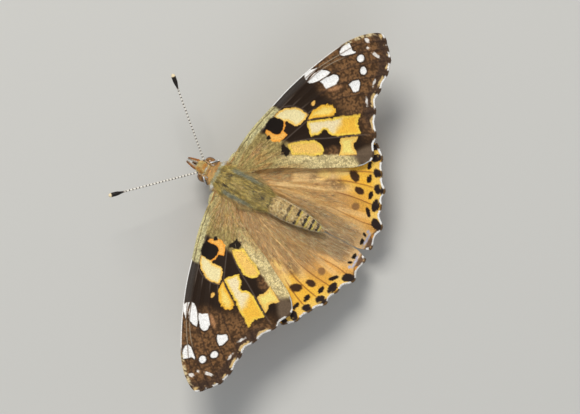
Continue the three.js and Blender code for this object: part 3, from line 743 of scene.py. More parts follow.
def paintHindUnder(spots, facts):
    out, fore = spots.T
    seed = 71
    wobble = noise(spots, 0.5, seed) * 0.12
    colours = plain("underOlive", spots)
    blotch = noise(spots, 1.5, seed + 1) + 0.5 * noise(spots, 0.6, seed + 2)
    lay(colours, "underBrown", 0.75 * cover(blotch - 0.25, 0.12))
    lay(colours, "underCream", 0.9 * cover(-blotch - 0.3, 0.1))
    reach = np.hypot(out - 1.5, fore + 2.5)
    pale = cover(0.8 - np.abs(reach - 10.2 - 1.2 * noise(spots, 2.2, seed + 3)), 0.3)
    lay(colours, "underCream", 0.8 * pale)
    lay(colours, "underCream", (1 - smoothStep(out, 1.5, 3.0)) * 0.8)
    lay(colours, "tan", 0.8 * cover(2.9 - facts["margin"] + wobble, 0.3))
    for out0, fore0, radius in eyeSpots:
        d = np.hypot(out - out0, fore - fore0) + 0.3 * wobble
        lay(colours, "underBrown", cover(radius - d, 0.07))
        lay(colours, "eyeYellow", cover(radius * 0.85 - d, 0.06))
        lay(colours, "black", cover(radius * 0.6 - d, 0.06))
        lay(colours, "eyeBlue", cover(radius * 0.32 - d, 0.06))
    line = cover(0.13 - np.abs(facts["margin"] - 1.15), 0.06)
    lay(colours, "lilac", 0.8 * cover(0.3 - np.abs(facts["margin"] - 1.4), 0.1))
    lay(colours, "umber", 0.8 * line)
    lay(colours, "underCream", 0.8 * cover(0.3 - np.abs(facts["margin"] - 0.65), 0.08))
    lay(colours, "underCream", 0.85 * stripe(facts["vein"], 0.13))
    return fringed(spots, facts, colours, seed, "underCream")


wingScales = paintedMaterial("wingScales", 0.66, 0.06, 5200.0, 0.00004)
for side, mark in bothSides:
    buildWing(f"foreWing_{mark}", side, foreWing, paintForeTop, paintForeUnder,
              "forewing_scales", f"forewing_{mark}")
    buildWing(f"hindWing_{mark}", side, hindWing, paintHindTop, paintHindUnder,
              "hindwing_scales", f"hindwing_{mark}")
    print("wings made on side", mark)

# Body skin: head, thorax and abdomen in one, inside the solids by the coat's depth

body = {
    # fore, half width, half height, height of the axis
    "stations": [(6.66, 0.02, 0.02, 6.7), (6.58, 0.42, 0.5, 6.7), (6.3, 0.74, 0.86, 6.75),
                 (5.8, 0.96, 1.1, 6.8), (5.3, 1.02, 1.2, 6.82), (4.95, 1.06, 1.14, 6.76),
                 (4.6, 1.34, 1.26, 6.7), (4.2, 1.66, 1.42, 6.68), (3.8, 1.92, 1.6, 6.7),
                 (3.2, 2.22, 1.86, 6.8),
                 (1.8, 2.72, 2.24, 6.9), (0.2, 2.84, 2.34, 6.9), (-1.5, 2.75, 2.3, 6.9),
                 (-3.0, 2.45, 2.1, 6.9), (-4.2, 2.0, 1.78, 6.92), (-5.0, 1.62, 1.5, 6.96),
                 (-5.6, 1.4, 1.28, 7.0), (-6.4, 1.42, 1.3, 7.02), (-7.6, 1.54, 1.42, 7.02),
                 (-9.0, 1.52, 1.4, 7.0), (-10.5, 1.4, 1.29, 6.96), (-12.0, 1.2, 1.1, 6.9),
                 (-13.4, 0.93, 0.86, 6.85), (-14.5, 0.62, 0.57, 6.8), (-15.2, 0.3, 0.28, 6.78),
                 (-15.5, 0.02, 0.02, 6.77)],
    "around": 96, "along": 300,
    "ringDepth": 0.05,
    "ringFore": [-7.9, -9.4, -11.1, -12.5, -13.65, -14.7],
    # out, fore, radius
    "darkSpots": [(0.15, 3.0, 0.17), (0.95, 3.05, 0.17), (0.8, 1.9, 0.24), (0, -4.05, 0.28),
                  (0, -5.7, 0.2), (0.55, -5.6, 0.2), (0.35, -2.4, 0.12)],
}
stations = np.array(body["stations"])
paints.update({
    "thoraxGold": (174, 150, 74), "thoraxPale": (204, 182, 110), "thoraxDark": (112, 96, 50),
    "thoraxMiddle": (206, 178, 110), "bareGrey": (146, 152, 140), "flankTan": (212, 168, 108),
    "bodySpot": (46, 38, 26), "neckGrey": (168, 168, 142), "shoulderWhite": (246, 240, 214),
    "collarTan": (208, 162, 98), "collarDark": (176, 122, 60), "neckWhite": (244, 236, 214),
    "headRust": (204, 142, 66), "headPale": (228, 190, 130), "abdomenTan": (198, 168, 112),
    "abdomenDark": (104, 86, 60), "abdomenPale": (236, 216, 168), "abdomenFringe": (232, 212, 172),
    "ringBlack": (30, 26, 24), "ringGold": (255, 204, 96), "tailTuft": (224, 158, 80),
    "belly": (220, 204, 172),
})


def bodyRing(fore):
    order = np.argsort(stations[:, 0])
    table = stations[order]
    return [np.interp(fore, table[:, 0], table[:, k]) for k in (1, 2, 3)]


def ringStep(fore):
    rings = np.array(body["ringFore"])
    behind = np.min(np.abs(np.asarray(fore)[:, None] - rings), axis=1)
    return np.exp(-(behind / 0.16) ** 2) * smoothStep(-np.asarray(fore), 6.5, 8)


def tubeFrame(path, across):
    tangent = np.gradient(path, axis=0)
    tangent /= np.linalg.norm(tangent, axis=1)[:, None]
    u = across - (tangent @ across)[:, None] * tangent
    u /= np.linalg.norm(u, axis=1)[:, None]
    return tangent, u, np.cross(tangent, u)


def gridTube(name, path, radii, across, around, squash=1.0, flatten=False):
    mesh = bpy.data.meshes.new(name)
    along = len(path) - 1
    bm = newGrid(around, along)
    _, u, v = tubeFrame(path, across)
    for vert in bm.verts:
        row = int(round((vert.co.y + 0.5) * along))
        turn = 2 * math.pi * (vert.co.x + 0.5)
        spot = path[row] + radii[row] * (math.cos(turn) * u[row] + squash * math.sin(turn) * v[row])
        if flatten:
            spot[2] = max(spot[2], 0.004 * metre)
        vert.co = spot
    bmesh.ops.remove_doubles(bm, verts=bm.verts[:], dist=1e-7)
    bmesh.ops.recalc_face_normals(bm, faces=bm.faces[:])
    bm.to_mesh(mesh)
    bm.free()
    smoothFaces(mesh)
    return mesh


def bodyColour(spots):
    out, fore, z = np.abs(spots[:, 0]), spots[:, 1], spots[:, 2]
    side3 = np.stack([spots[:, 0], fore, z], 1)
    wide, high, axis = bodyRing(fore)
    rise = (z - axis) / np.maximum(high, 0.1)
    share = out / np.maximum(wide, 0.1)
    n1 = noise(side3, 0.5, 91)
    n2 = noise(side3, 0.2, 92)
    n3 = noise(side3 * np.array([2.2, 0.5, 2.2]), 0.5, 93)
    colours = plain("thoraxGold", spots)
    lay(colours, "thoraxPale", 0.7 * cover(n3 - 0.1, 0.25))
    lay(colours, "thoraxDark", 0.6 * cover(-n3 - 0.25, 0.25))
    halfWay = smoothStep(fore, -1.4, -0.6) * (1 - smoothStep(fore, 0.6, 1.4))
    lay(colours, "thoraxMiddle", 0.7 * cover(0.25 - out, 0.15) * halfWay)
    bare = cover(0.3 - np.abs(out - 1.8 + 0.06 * fore), 0.15) * smoothStep(fore, -4.2, -1.5)
    lay(colours, "bareGrey", bare * 0.75 * (1 - smoothStep(fore, 1.6, 2.2)))
    flank = smoothStep(out + 0.12 * n1 + 0.35 * smoothStep(fore, 2.0, 3.2), 2.0, 2.4)
    lay(colours, "flankTan", flank)
    for spot in body["darkSpots"]:
        d = np.hypot(out - spot[0], fore - spot[1]) + 0.1 * n2
        lay(colours, "bodySpot", 0.8 * cover(spot[2] - d, 0.08) * (rise > 0))
    lay(colours, "neckGrey", 0.85 * cover(0.2 - np.abs(fore - 3.62) + 0.08 * n1, 0.1))
    lay(colours, "shoulderWhite", cover(0.26 - np.hypot(out - 1.8, fore - 3.52), 0.08) * (rise > 0.2))
    collar = smoothStep(fore, 3.8, 3.95) * (1 - smoothStep(fore, 4.9, 5.1))
    lay(colours, "collarTan", collar)
    lay(colours, "collarDark", 0.5 * collar * cover(n1 - 0.15, 0.2))
    head = smoothStep(fore, 4.95, 5.15)
    lay(colours, "headRust", head)
    lay(colours, "headPale", 0.7 * head * cover(n1 - 0.1, 0.2))
    lay(colours, "neckWhite", 0.8 * head * cover(0.14 - np.abs(fore - 5.1) + 0.06 * n1, 0.08))
    abdomen = 1 - smoothStep(fore, -6.6, -5.4)
    lay(colours, "abdomenTan", abdomen)
    speckle = cover(n2 + 0.3 * n1 - 0.3, 0.15) * abdomen
    lay(colours, "abdomenDark", 0.6 * speckle)
    lay(colours, "abdomenPale", 0.55 * abdomen * cover(-n2 - 0.35, 0.15))
    for ring in body["ringFore"][1:]:
        d = fore - ring
        strength = abdomen * (0.45 if ring > -10 else 1.0)
        blotch = cover(0.2 - np.abs(d - 0.34) + 0.1 * n2, 0.08) * cover(n1 + 0.35 * n2 + 0.45, 0.2)
        lay(colours, "ringBlack", strength * 0.92 * blotch)
        lay(colours, "ringGold", strength * cover(0.13 - np.abs(d) + 0.03 * n2, 0.05))
    lay(colours, "tailTuft", 1 - smoothStep(fore, -15.4, -14.9))
    fringe = abdomen * smoothStep(share, 0.86, 0.98)
    lay(colours, "abdomenFringe", 0.7 * fringe)
    under = smoothStep(-rise + 0.12 * n1, 0.15, 0.5)
    lay(colours, "belly", under * 0.9)
    return colours


bodySkin = paintedMaterial("bodySkin", 0.85, 0.3, 3800.0, 0.00006)


def buildBody():
    rows = np.linspace(0, len(stations) - 1, body["along"] + 1)
    fores = spread(stations[:, :1], np.arange(float(len(stations))), rows)[:, 0]
    wide = bodyRing(fores)[0]
    swell = 1 - body["ringDepth"] * ringStep(fores)
    path = place(1, 0 * fores, fores, 0 * fores)
    mesh = gridTube("bodySkin", path, wide * swell * metre, np.array([1.0, 0, 0]), body["around"], 1.0)
    spots = meshSpots(mesh)
    wideAt, highAt, axisAt = bodyRing(-spots[:, 1] / metre - foreShift)
    spots[:, 2] = axisAt * metre + spots[:, 2] * highAt / np.maximum(wideAt, 1e-3)
    mesh.vertices.foreach_set("co", spots.astype(np.float32).ravel())
    setPaint(mesh, bodyColour(bodySpots(spots, 1)))
    mesh.update()
    newPiece("bodySkin", mesh, bodySkin, "body_fur", "head", "thorax", "abdomen")


buildBody()
print("body skin made")


# Coat: one tapering tuft, bent half way, is modelled and set many times. "flat" is its depth
# as a share of its width, and "patch" the size of its place in the UV map.

tuft = {"sides": 3, "flat": 0.45, "shades": 0.1, "patch": 0.003}


def tuftTemplate():
    bm = bmesh.new()
    bmesh.ops.create_cone(bm, cap_ends=True, segments=tuft["sides"], radius1=1.0, radius2=0.0, depth=1.0)
    bmesh.ops.bisect_plane(bm, geom=bm.verts[:] + bm.edges[:] + bm.faces[:], dist=1e-6,
                           plane_co=(0, 0, 0), plane_no=(0, 0, 1))
    bmesh.ops.triangulate(bm, faces=bm.faces[:])
    bm.verts.ensure_lookup_table()
    points = np.array([v.co for v in bm.verts]) + np.array([0, 0, 0.5])
    faces = np.array([[v.index for v in f.verts] for f in bm.faces])
    bm.free()
    points[:, :2] *= (0.6 + 0.8 * np.sin(np.pi * points[:, 2]))[:, None]
    return points, faces


tuftPoints, tuftFaces = tuftTemplate()
furMaterial = paintedMaterial("coatHair", 0.7, 0.35, 9000.0, 0.00001, 0.1)


def patchPlace(u, v):
    return np.stack([u, v], 1) * 0.96 + 0.02    # keeps every patch inside the UV map


def makeCoat(name, roots, along, normal, length, width, rootColour, tipColour, rootUv, bend,
             slot="body_fur"):
    count = len(roots)
    along = along / np.linalg.norm(along, axis=1)[:, None]
    normal = normal - np.sum(normal * along, 1)[:, None] * along
    normal = normal / np.maximum(np.linalg.norm(normal, axis=1), 1e-9)[:, None]
    across = np.cross(normal, along)
    s = tuftPoints[:, 2]
    length = (np.broadcast_to(length, count) * metre)[:, None, None]
    width = (np.broadcast_to(width, count) * metre)[:, None, None]
    rise = tuftPoints[:, 1, None] * width * tuft["flat"] - (bend * s**2)[:, None] * length
    spots = (roots[:, None] + along[:, None] * (s[:, None] * length)
             + across[:, None] * (tuftPoints[:, 0, None] * width) + normal[:, None] * rise)
    spots = spots.reshape(-1, 3)
    faces = (tuftFaces[None] + (np.arange(count) * len(tuftPoints))[:, None, None]).reshape(-1, 3)
    mesh = bpy.data.meshes.new(name)
    mesh.from_pydata(spots.tolist(), [], faces.tolist())
    blend = np.clip(s, 0, 1)[None, :, None]
    colours = rootColour[:, None] * (1 - blend) + tipColour[:, None] * blend
    colours = colours * (1 + tuft["shades"] * random.normal(0, 1, (count, 1, 1)))
    setPaint(mesh, colours.reshape(-1, 3))
    uv = mesh.uv_layers.new(name="OFBake")
    spotUv = rootUv[:, None] + np.stack([tuftPoints[:, 0] * 0.5, s - 0.5], 1)[None] * tuft["patch"]
    uv.data.foreach_set("uv", spotUv.reshape(-1, 2)[faces.ravel()].astype(np.float32).ravel())
    smoothFaces(mesh)
    newPiece(name, mesh, furMaterial, slot)


def bodyRoots(count, foreLow, foreHigh):
    fore = random.uniform(foreLow, foreHigh, count)
    turn = random.uniform(0.0, 1.0, count) * 2 * math.pi
    wide, high, axis = bodyRing(fore)
    step = 0.2
    widePlus, highPlus, axisPlus = bodyRing(fore + step)
    wideLess, highLess, axisLess = bodyRing(fore - step)
    out = wide * np.cos(turn)
    z = axis + high * np.sin(turn)
    sunk = 0.97    # roots sit a little under the skin
    roots = place(1, out * sunk, fore, axis + (z - axis) * sunk)
    grow = ((widePlus - wideLess) * np.cos(turn) ** 2 * high
            + (highPlus - highLess) * np.sin(turn) ** 2 * wide
            + (axisPlus - axisLess) * np.sin(turn) * wide)
    normal = np.stack([np.cos(turn) * high, grow / (2 * step), np.sin(turn) * wide], 1)
    normal /= np.linalg.norm(normal, axis=1)[:, None]
    rootUv = np.stack([turn / (2 * math.pi), (foreHigh - fore) / (foreHigh - foreLow) * 0.98 + 0.01], 1)
    colours = bodyColour(np.stack([out, fore - 0.1 * (fore < -6), z], 1))
    return roots, normal, fore, turn, colours, rootUv


coat = {
    # name: tufts, from fore, to fore, length, width, lift, bend
    "thoraxCoat": (16000, -5.6, 3.7, 0.95, 0.05, 0.3, 0.2),
    "collarCoat": (4200, 3.3, 5.0, 0.46, 0.04, 0.3, 0.2),
    "headCoat": (4200, 4.7, 6.6, 0.5, 0.034, 0.5, 0.3),
    "abdomenCoat": (14000, -15.4, -5.4, 0.34, 0.04, 0.14, 0.1),
}


def buildCoat():
    for name, (count, low, high, length, width, lift, bend) in coat.items():
        roots, normal, fore, turn, colours, rootUv = bodyRoots(count, low, high)
        n = len(roots)
        sway = random.normal(0, 0.14, (n, 3))
        if name == "headCoat":
            along = np.array([0.0, -0.35, 0.25]) + normal * 0.7 + sway
        else:
            back = np.array([0.0, 1.0, 0.0]) - normal * normal[:, 1:2]
            back[:, 0] += 0.35 * np.cos(turn) * smoothStep(fore, -3, 1) * (name == "thoraxCoat")
            along = back + normal * lift * (1 + 0.4 * random.normal(0, 1, n))[:, None] + sway
        long = length * random.uniform(0.6, 1.2, n)
        if name == "thoraxCoat":
            flank = smoothStep(np.abs(np.cos(turn)), 0.6, 0.95)
            long = long * (1 + 0.7 * flank) * (1 - 0.4 * smoothStep(fore, 1.8, 3.2))
        tip = np.clip(colours * 1.25 + 10, 0, 255)
        makeCoat(name, roots, along, normal, long, width, colours, tip, rootUv, bend)
    print("body coat made")


buildCoat()

# Eyes: large, brown and faceted, in a rim of pale scales

eye = {"place": (1.3, 5.2, 6.92), "half": (0.82, 0.95, 1.08), "facet": 16000.0}


def eyeMaterial():
    material, tree, shader = newMaterial("eyeFacets")
    link = tree.links.new
    place3d = addNode(tree, "ShaderNodeTexCoord")
    facets = addNode(tree, "ShaderNodeTexVoronoi", Scale=eye["facet"], Randomness=0.35)
    link(place3d.outputs["Object"], facets.inputs["Vector"])
    cloud = addNode(tree, "ShaderNodeTexNoise", Scale=1400.0, Detail=3.0)
    link(place3d.outputs["Object"], cloud.inputs["Vector"])
    ramp = addNode(tree, "ShaderNodeValToRGB")
    ramp.color_ramp.elements[0].position = 0.35
    ramp.color_ramp.elements[0].color = (*linear((52, 30, 10)), 1)
    ramp.color_ramp.elements[1].position = 0.68
    ramp.color_ramp.elements[1].color = (*linear((158, 108, 44)), 1)
    link(cloud.outputs["Fac"], ramp.inputs["Fac"])
    link(ramp.outputs["Color"], shader.inputs["Base Color"])
    bump = addNode(tree, "ShaderNodeBump", Strength=0.7, Distance=0.00002)
    bump.invert = True
    link(facets.outputs["Distance"], bump.inputs["Height"])
    link(bump.outputs["Normal"], shader.inputs["Normal"])
    shader.inputs["Roughness"].default_value = 0.22
    shader.inputs["Coat Weight"].default_value = 0.4
    return material


eyeFacets = eyeMaterial()
paints.update({"rimTan": (226, 184, 122), "rimWhite": (250, 248, 244)})
eyeRim = {"tufts": 900, "length": 0.26, "width": 0.035, "inward": 0.22, "clear": 0.02, "bend": 0.2}


def buildEye(side, mark):
    mesh = bpy.data.meshes.new(f"eye_{mark}")
    bm = bmesh.new()
    bmesh.ops.create_uvsphere(bm, u_segments=64, v_segments=40, radius=1.0)
    bmesh.ops.scale(bm, vec=np.array(eye["half"]) * metre, verts=bm.verts)
    bmesh.ops.translate(bm, vec=place(side, *eye["place"]), verts=bm.verts)
    bm.to_mesh(mesh)
    bm.free()
    smoothFaces(mesh)
    newPiece(f"eyeball_{mark}", mesh, eyeFacets, "eye", f"eye_{mark}")


def buildEyeRim(side, mark):
    count = eyeRim["tufts"]
    around = random.uniform(0, 2 * math.pi, count)
    ring = np.stack([0 * around - eyeRim["inward"], np.cos(around), np.sin(around)], 1)
    ring /= np.linalg.norm(ring, axis=1)[:, None]
    ring[:, 0] = np.where(np.arange(count) % 3 == 0, ring[:, 0] + 0.1, ring[:, 0])
    spot = np.array(eye["place"]) + ring * (np.array(eye["half"]) + eyeRim["clear"])
    roots = place(side, spot[:, 0], spot[:, 1], spot[:, 2])
    normal = np.stack([side * ring[:, 0], -ring[:, 1], ring[:, 2]], 1)
    either = np.where(random.random(count) < 0.5, 1, -1)[:, None]
    along = np.cross(normal, np.array([side, 0, 0])) * either
    along = along + normal * 0.35 + np.array([-side * 0.5, 0, 0]) + random.normal(0, 0.15, (count, 3))
    behind = smoothStep(-ring[:, 1], 0.25, 0.5)[:, None]
    colour = paintColour("rimTan") * (1 - behind) + paintColour("rimWhite") * behind
    rootUv = np.stack([around / (2 * math.pi) * 0.96 + 0.02, 0.5 + 0.3 * ring[:, 0]], 1)
    makeCoat(f"eyeRim_{mark}", roots, along, normal, eyeRim["length"], eyeRim["width"],
             colour * 0.9, colour, rootUv, eyeRim["bend"])


for side, mark in bothSides:
    buildEye(side, mark)
    buildEyeRim(side, mark)
print("eyes made")


# The rear edge of each eye: a white line, a dark one behind it, then tan hair
eyeLine = {
    "start": (0.9, 5.5), "end": (2.08, 4.28), "tufts": 1500, "length": 0.3, "width": 0.042, "band": 0.15,
    "shares": [0.4, 0.2, 0.4], "colours": [(252, 251, 247), (40, 30, 22), (214, 168, 104)],
}


def eyeHeight(out, fore):
    d = np.stack([out, fore], 1) - np.array(eye["place"][:2])
    reach = np.linalg.norm(d / np.array(eye["half"][:2]), axis=1)
    return eye["place"][2] + eye["half"][2] * np.sqrt(np.clip(1 - reach ** 2, 0, 1))


def buildEyeLine(side, mark):
    count = eyeLine["tufts"]
    start, end = np.array(eyeLine["start"]), np.array(eyeLine["end"])
    run = (end - start) / np.linalg.norm(end - start)
    back = np.array([-run[1], run[0]]) * np.sign(run[1])    # square to the line, toward the neck
    t = random.uniform(0, 1, count)
    kind = random.choice(3, count, p=eyeLine["shares"])
    depth = np.choose(kind, [random.uniform(-0.5, 0.5, count), random.uniform(0.7, 1.2, count),
                             random.uniform(1.3, 3.6, count)]) * eyeLine["band"]
    spot = start + (end - start) * t[:, None] + back * depth[:, None]
    z = eyeHeight(spot[:, 0], spot[:, 1])
    roots = place(side, spot[:, 0], spot[:, 1], z)
    normal = np.tile(np.array([side * 0.35, 0.2, 0.9]), (count, 1))
    along = np.array([side * run[0], -run[1], -0.25]) + 0.2 * normal + random.normal(0, 0.12, (count, 3))
    colour = np.array(eyeLine["colours"], float)[kind]
    rootUv = np.stack([t * 0.9 + 0.05, 0.5 + 0.1 * depth], 1)
    makeCoat(f"eyeLine_{mark}", roots, along, normal, eyeLine["length"], eyeLine["width"],
             colour, colour, rootUv, 0.1)


# Pale scale tufts over the root of each forewing
tegula = {
    "place": (3.35, 2.5, 8.3), "half": (0.7, 0.26), "tufts": 700, "length": 0.62, "width": 0.045,
    "pale": (252, 236, 170), "tan": (226, 168, 84),
}


def buildTegula(side, mark):
    count = tegula["tufts"]
    drift = random.normal(0, 0.45, (count, 2)) * np.array(tegula["half"])
    out = tegula["place"][0] + drift[:, 0]
    fore = tegula["place"][1] - 0.15 * drift[:, 0] + drift[:, 1]
    roots = place(side, out, fore, tegula["place"][2] + 0 * out)
    normal = np.tile(np.array([0.0, -0.3, 1.0]), (count, 1))
    along = np.array([side * 0.95, -0.05, 0.12]) + random.normal(0, 0.12, (count, 3))
    pale = (drift[:, 1] > -0.08)[:, None]
    colour = np.where(pale, paintColour(tegula["pale"]), paintColour(tegula["tan"]))
    rootUv = 0.5 + drift * 0.2
    makeCoat(f"tegula_{mark}", roots, along, normal, tegula["length"], tegula["width"],
             colour * 0.9, colour, rootUv, 0.25)


for side, mark in bothSides:
    buildEyeLine(side, mark)
    buildTegula(side, mark)
print("eye lines and shoulder tufts made")


# Palps, antennae, tongue and legs: tapering tubes through [out, fore, height, radius]

limbs = {
    "palp": [(0.42, 5.9, 5.95, 0.16), (0.5, 6.5, 6.12, 0.24), (0.5, 7.1, 6.45, 0.25),
             (0.42, 7.7, 6.8, 0.21), (0.33, 8.25, 7.15, 0.15), (0.26, 8.66, 7.42, 0.04)],
    "foreleg": [(0.8, 2.7, 5.4, 0.26), (1.25, 3.1, 4.4, 0.24), (1.5, 3.7, 3.8, 0.2),
                (1.55, 4.5, 4.0, 0.18), (1.45, 5.1, 4.5, 0.16), (1.35, 5.4, 4.9, 0.06)],
    "midleg": [(1.1, 0.6, 5.6, 0.34), (1.9, 0.7, 4.6, 0.34), (3.3, 0.9, 4.75, 0.29),
               (4.6, 1.0, 5.0, 0.24), (5.05, 1.0, 4.75, 0.22), (5.6, 0.95, 3.6, 0.19),
               (6.3, 0.8, 1.9, 0.17), (6.75, 0.7, 0.7, 0.16), (7.1, 0.6, 0.2, 0.14),
               (7.9, 0.4, 0.13, 0.13), (8.8, 0.15, 0.12, 0.12), (9.2, 0.05, 0.1, 0.06)],
    "hindleg": [(1.0, -2.2, 5.5, 0.34), (1.6, -3.1, 4.5, 0.34), (2.6, -4.6, 4.5, 0.29),
                (3.6, -6.1, 4.7, 0.24), (3.8, -6.5, 4.45, 0.22), (4.2, -7.4, 3.3, 0.19),
                (4.7, -8.6, 1.6, 0.17), (5.0, -9.3, 0.7, 0.16), (5.15, -9.75, 0.2, 0.14),
                (5.5, -10.7, 0.13, 0.13), (5.9, -11.8, 0.12, 0.12), (6.05, -12.2, 0.1, 0.06)],
}
antenna = {
    "root": (1.0, 6.2, 7.4), "tip": (10.7, 16.75, 12.4), "rise": 0.7, "shaft": 0.155, "club": 0.37,
    "ringEvery": 0.55, "steps": 260, "around": 16,
}
coil = {
    "centre": (6.55, 4.75), "turns": 1.6, "inner": 0.32, "pitch": 0.84, "radius": 0.2, "start": 0.62,
    "steps": 260, "around": 16,
}
palpCoat = {"tufts": 1100, "length": 0.42, "width": 0.035, "deep": 1.4, "bend": 0.15}
# "walking" legs stand on the floor and "folded" ones are the small hairy front pair
legHair = {
    "walking": {"tufts": 700, "length": 0.26}, "folded": {"tufts": 800, "length": 0.5}, "width": 0.03,
    "spineShare": 0.16, "spineLength": 0.32, "spineWidth": 0.018, "floorClear": 0.12, "bend": 0.1,
}
# Each claw's bend: ahead, aside, up, radius
clawBend = [(-0.08, 0.03, 0, 0.035), (0.06, 0.08, 0.03, 0.03), (0.15, 0.1, -0.02, 0.018),
            (0.19, 0.1, -0.07, 0.006)]
paints.update({
    "hornDark": (52, 42, 34), "hornRing": (238, 234, 224), "clubDark": (26, 20, 16),
    "clubTip": (244, 226, 186), "tongueBrown": (96, 62, 30), "tongueGroove": (54, 34, 18),
    "tongueBand": (140, 96, 50), "palpSkin": (196, 150, 92), "palpRust": (206, 132, 58),
    "palpInner": (240, 232, 214), "palpLow": (246, 240, 228), "palpDark": (60, 40, 26),
    "legCream": (206, 190, 156), "legTan": (196, 152, 92), "legDark": (96, 72, 48),
    "legHair": (222, 206, 172), "legSpine": (44, 32, 22), "claw": (52, 34, 22),
})


def limbTube(name, side, table, across, steps, around, squash=1.0, flatten=False):
    table = np.array(table, float)
    knots = np.append(0, np.cumsum(np.linalg.norm(np.diff(table[:, :3], axis=0), axis=1)))
    fine = spread(table, knots, np.linspace(0, knots[-1], steps))
    fine[:, 3] = np.maximum(fine[:, 3], 0.01)
    fine[0, 3] = fine[-1, 3] = 0
    path = place(side, fine[:, 0], fine[:, 1], fine[:, 2])
    mesh = gridTube(name, path, fine[:, 3] * metre, np.array(across, float), around, squash, flatten)
    return mesh, fine, path


hornMaterial = paintedMaterial("hornScales", 0.45, 0.05, 7000.0, 0.00001, 0.12, 0.3)
legMaterial = paintedMaterial("legScales", 0.6, 0.2, 9000.0, 0.00001, 0.2)


def buildAntenna(side, mark):
    t = np.linspace(0, 1, 40)
    start, end = np.array(antenna["root"]), np.array(antenna["tip"])
    table = start + (end - start) * t[:, None]
    table[:, 2] += antenna["rise"] * np.sin(np.pi * t)
    club = smoothStep(t, 0.83, 0.92) * (1 - smoothStep(t, 0.965, 1.02))
    thick = antenna["shaft"] * (1 - 0.15 * t) + (antenna["club"] - antenna["shaft"]) * club
    table = np.column_stack([table, thick])
    mesh = limbTube(f"feeler_{mark}", side, table, (1.0, side * 1.0, 0), antenna["steps"],
                    antenna["around"])[0]
    spots = bodySpots(meshSpots(mesh), side)
    reach = np.linalg.norm(spots - start, axis=1)
    total = np.linalg.norm(end - start)
    beat = np.abs((reach / antenna["ringEvery"]) % 1 - 0.5) * 2
    colours = plain("hornDark", spots)
    pale = cover(beat - 0.26, 0.12) * (1 - smoothStep(reach, total * 0.82, total * 0.86))
    lay(colours, "hornRing", pale)
    lay(colours, "clubDark", smoothStep(reach, total * 0.85, total * 0.87))
    lay(colours, "clubTip", smoothStep(reach, total * 0.968, total * 0.98))
    setPaint(mesh, colours)
    newPiece(f"feeler_{mark}", mesh, hornMaterial, "antenna_horn", f"antenna_{mark}")


def buildTongue():
    turn = np.linspace(0, coil["turns"], 160)
    radius = coil["inner"] + coil["pitch"] * turn
    angle = math.pi * coil["start"] + 2 * math.pi * (coil["turns"] - turn)
    table = np.column_stack([0 * turn, coil["centre"][0] + radius * np.cos(angle),
                             coil["centre"][1] + radius * np.sin(angle), 0 * turn + coil["radius"]])
    mesh = limbTube("tongue", 1, table, (1.0, 0, 0), coil["steps"], coil["around"])[0]
    spots = bodySpots(meshSpots(mesh), 1)
    groove = cover(0.05 - np.abs(spots[:, 0]), 0.03)
    band = cover(noise(spots, 0.12, 97), 0.3)
    colours = plain("tongueBrown", spots)
    lay(colours, "tongueGroove", 0.8 * groove)
    lay(colours, "tongueBand", 0.3 * band)
    setPaint(mesh, colours)
    newPiece("tongue", mesh, hornMaterial, "antenna_horn", "proboscis")


def buildPalp(side, mark):
    deep = palpCoat["deep"]
    mesh, fine, path = limbTube(f"palpSkin_{mark}", side, limbs["palp"], (1.0, 0, 0), 60, 24, deep)
    setPaint(mesh, plain("palpSkin", mesh.vertices))
    newPiece(f"palpSkin_{mark}", mesh, bodySkin, "body_fur", f"palp_{mark}")
    count = palpCoat["tufts"]
    step = random.uniform(0.12, 0.94, count)
    row = (step * (len(fine) - 1)).astype(int)
    turn = random.uniform(0, 2 * math.pi, count)
    radius = fine[row, 3]
    spot = fine[row, :3] + np.stack([radius * np.cos(turn), 0 * turn, deep * radius * np.sin(turn)], 1)
    roots = place(side, spot[:, 0], spot[:, 1], spot[:, 2])
    normal = np.stack([side * np.cos(turn), 0 * turn, np.sin(turn)], 1)
    tangent = tubeFrame(path, np.array([1.0, 0, 0]))[0][row]
    along = tangent + 0.3 * normal + random.normal(0, 0.1, (count, 3))
    inner = smoothStep(-np.cos(turn), -0.1, 0.35)
    colour = plain("palpRust", spot)
    lay(colour, "palpInner", inner)
    lay(colour, "palpLow", smoothStep(-np.sin(turn), 0.2, 0.6))
    lay(colour, "palpDark", smoothStep(step, 0.7, 0.95) * (random.random(count) < 0.6))
    rootUv = patchPlace(turn / (2 * math.pi), step)
    long = palpCoat["length"] * (1.1 - 0.5 * step)
    makeCoat(f"palpCoat_{mark}", roots, along, normal, long, palpCoat["width"],
             colour * 0.85, colour, rootUv, palpCoat["bend"])


def paintLeg(mesh, side):
    spots = bodySpots(meshSpots(mesh), side)
    low = 1 - smoothStep(spots[:, 2], 0.6, 4.6)
    colours = plain("legCream", spots)
    lay(colours, "legTan", low * 0.8)
    lay(colours, "legDark", 0.5 * cover(noise(spots, 0.3, 101) - 0.25, 0.15))
    setPaint(mesh, colours)


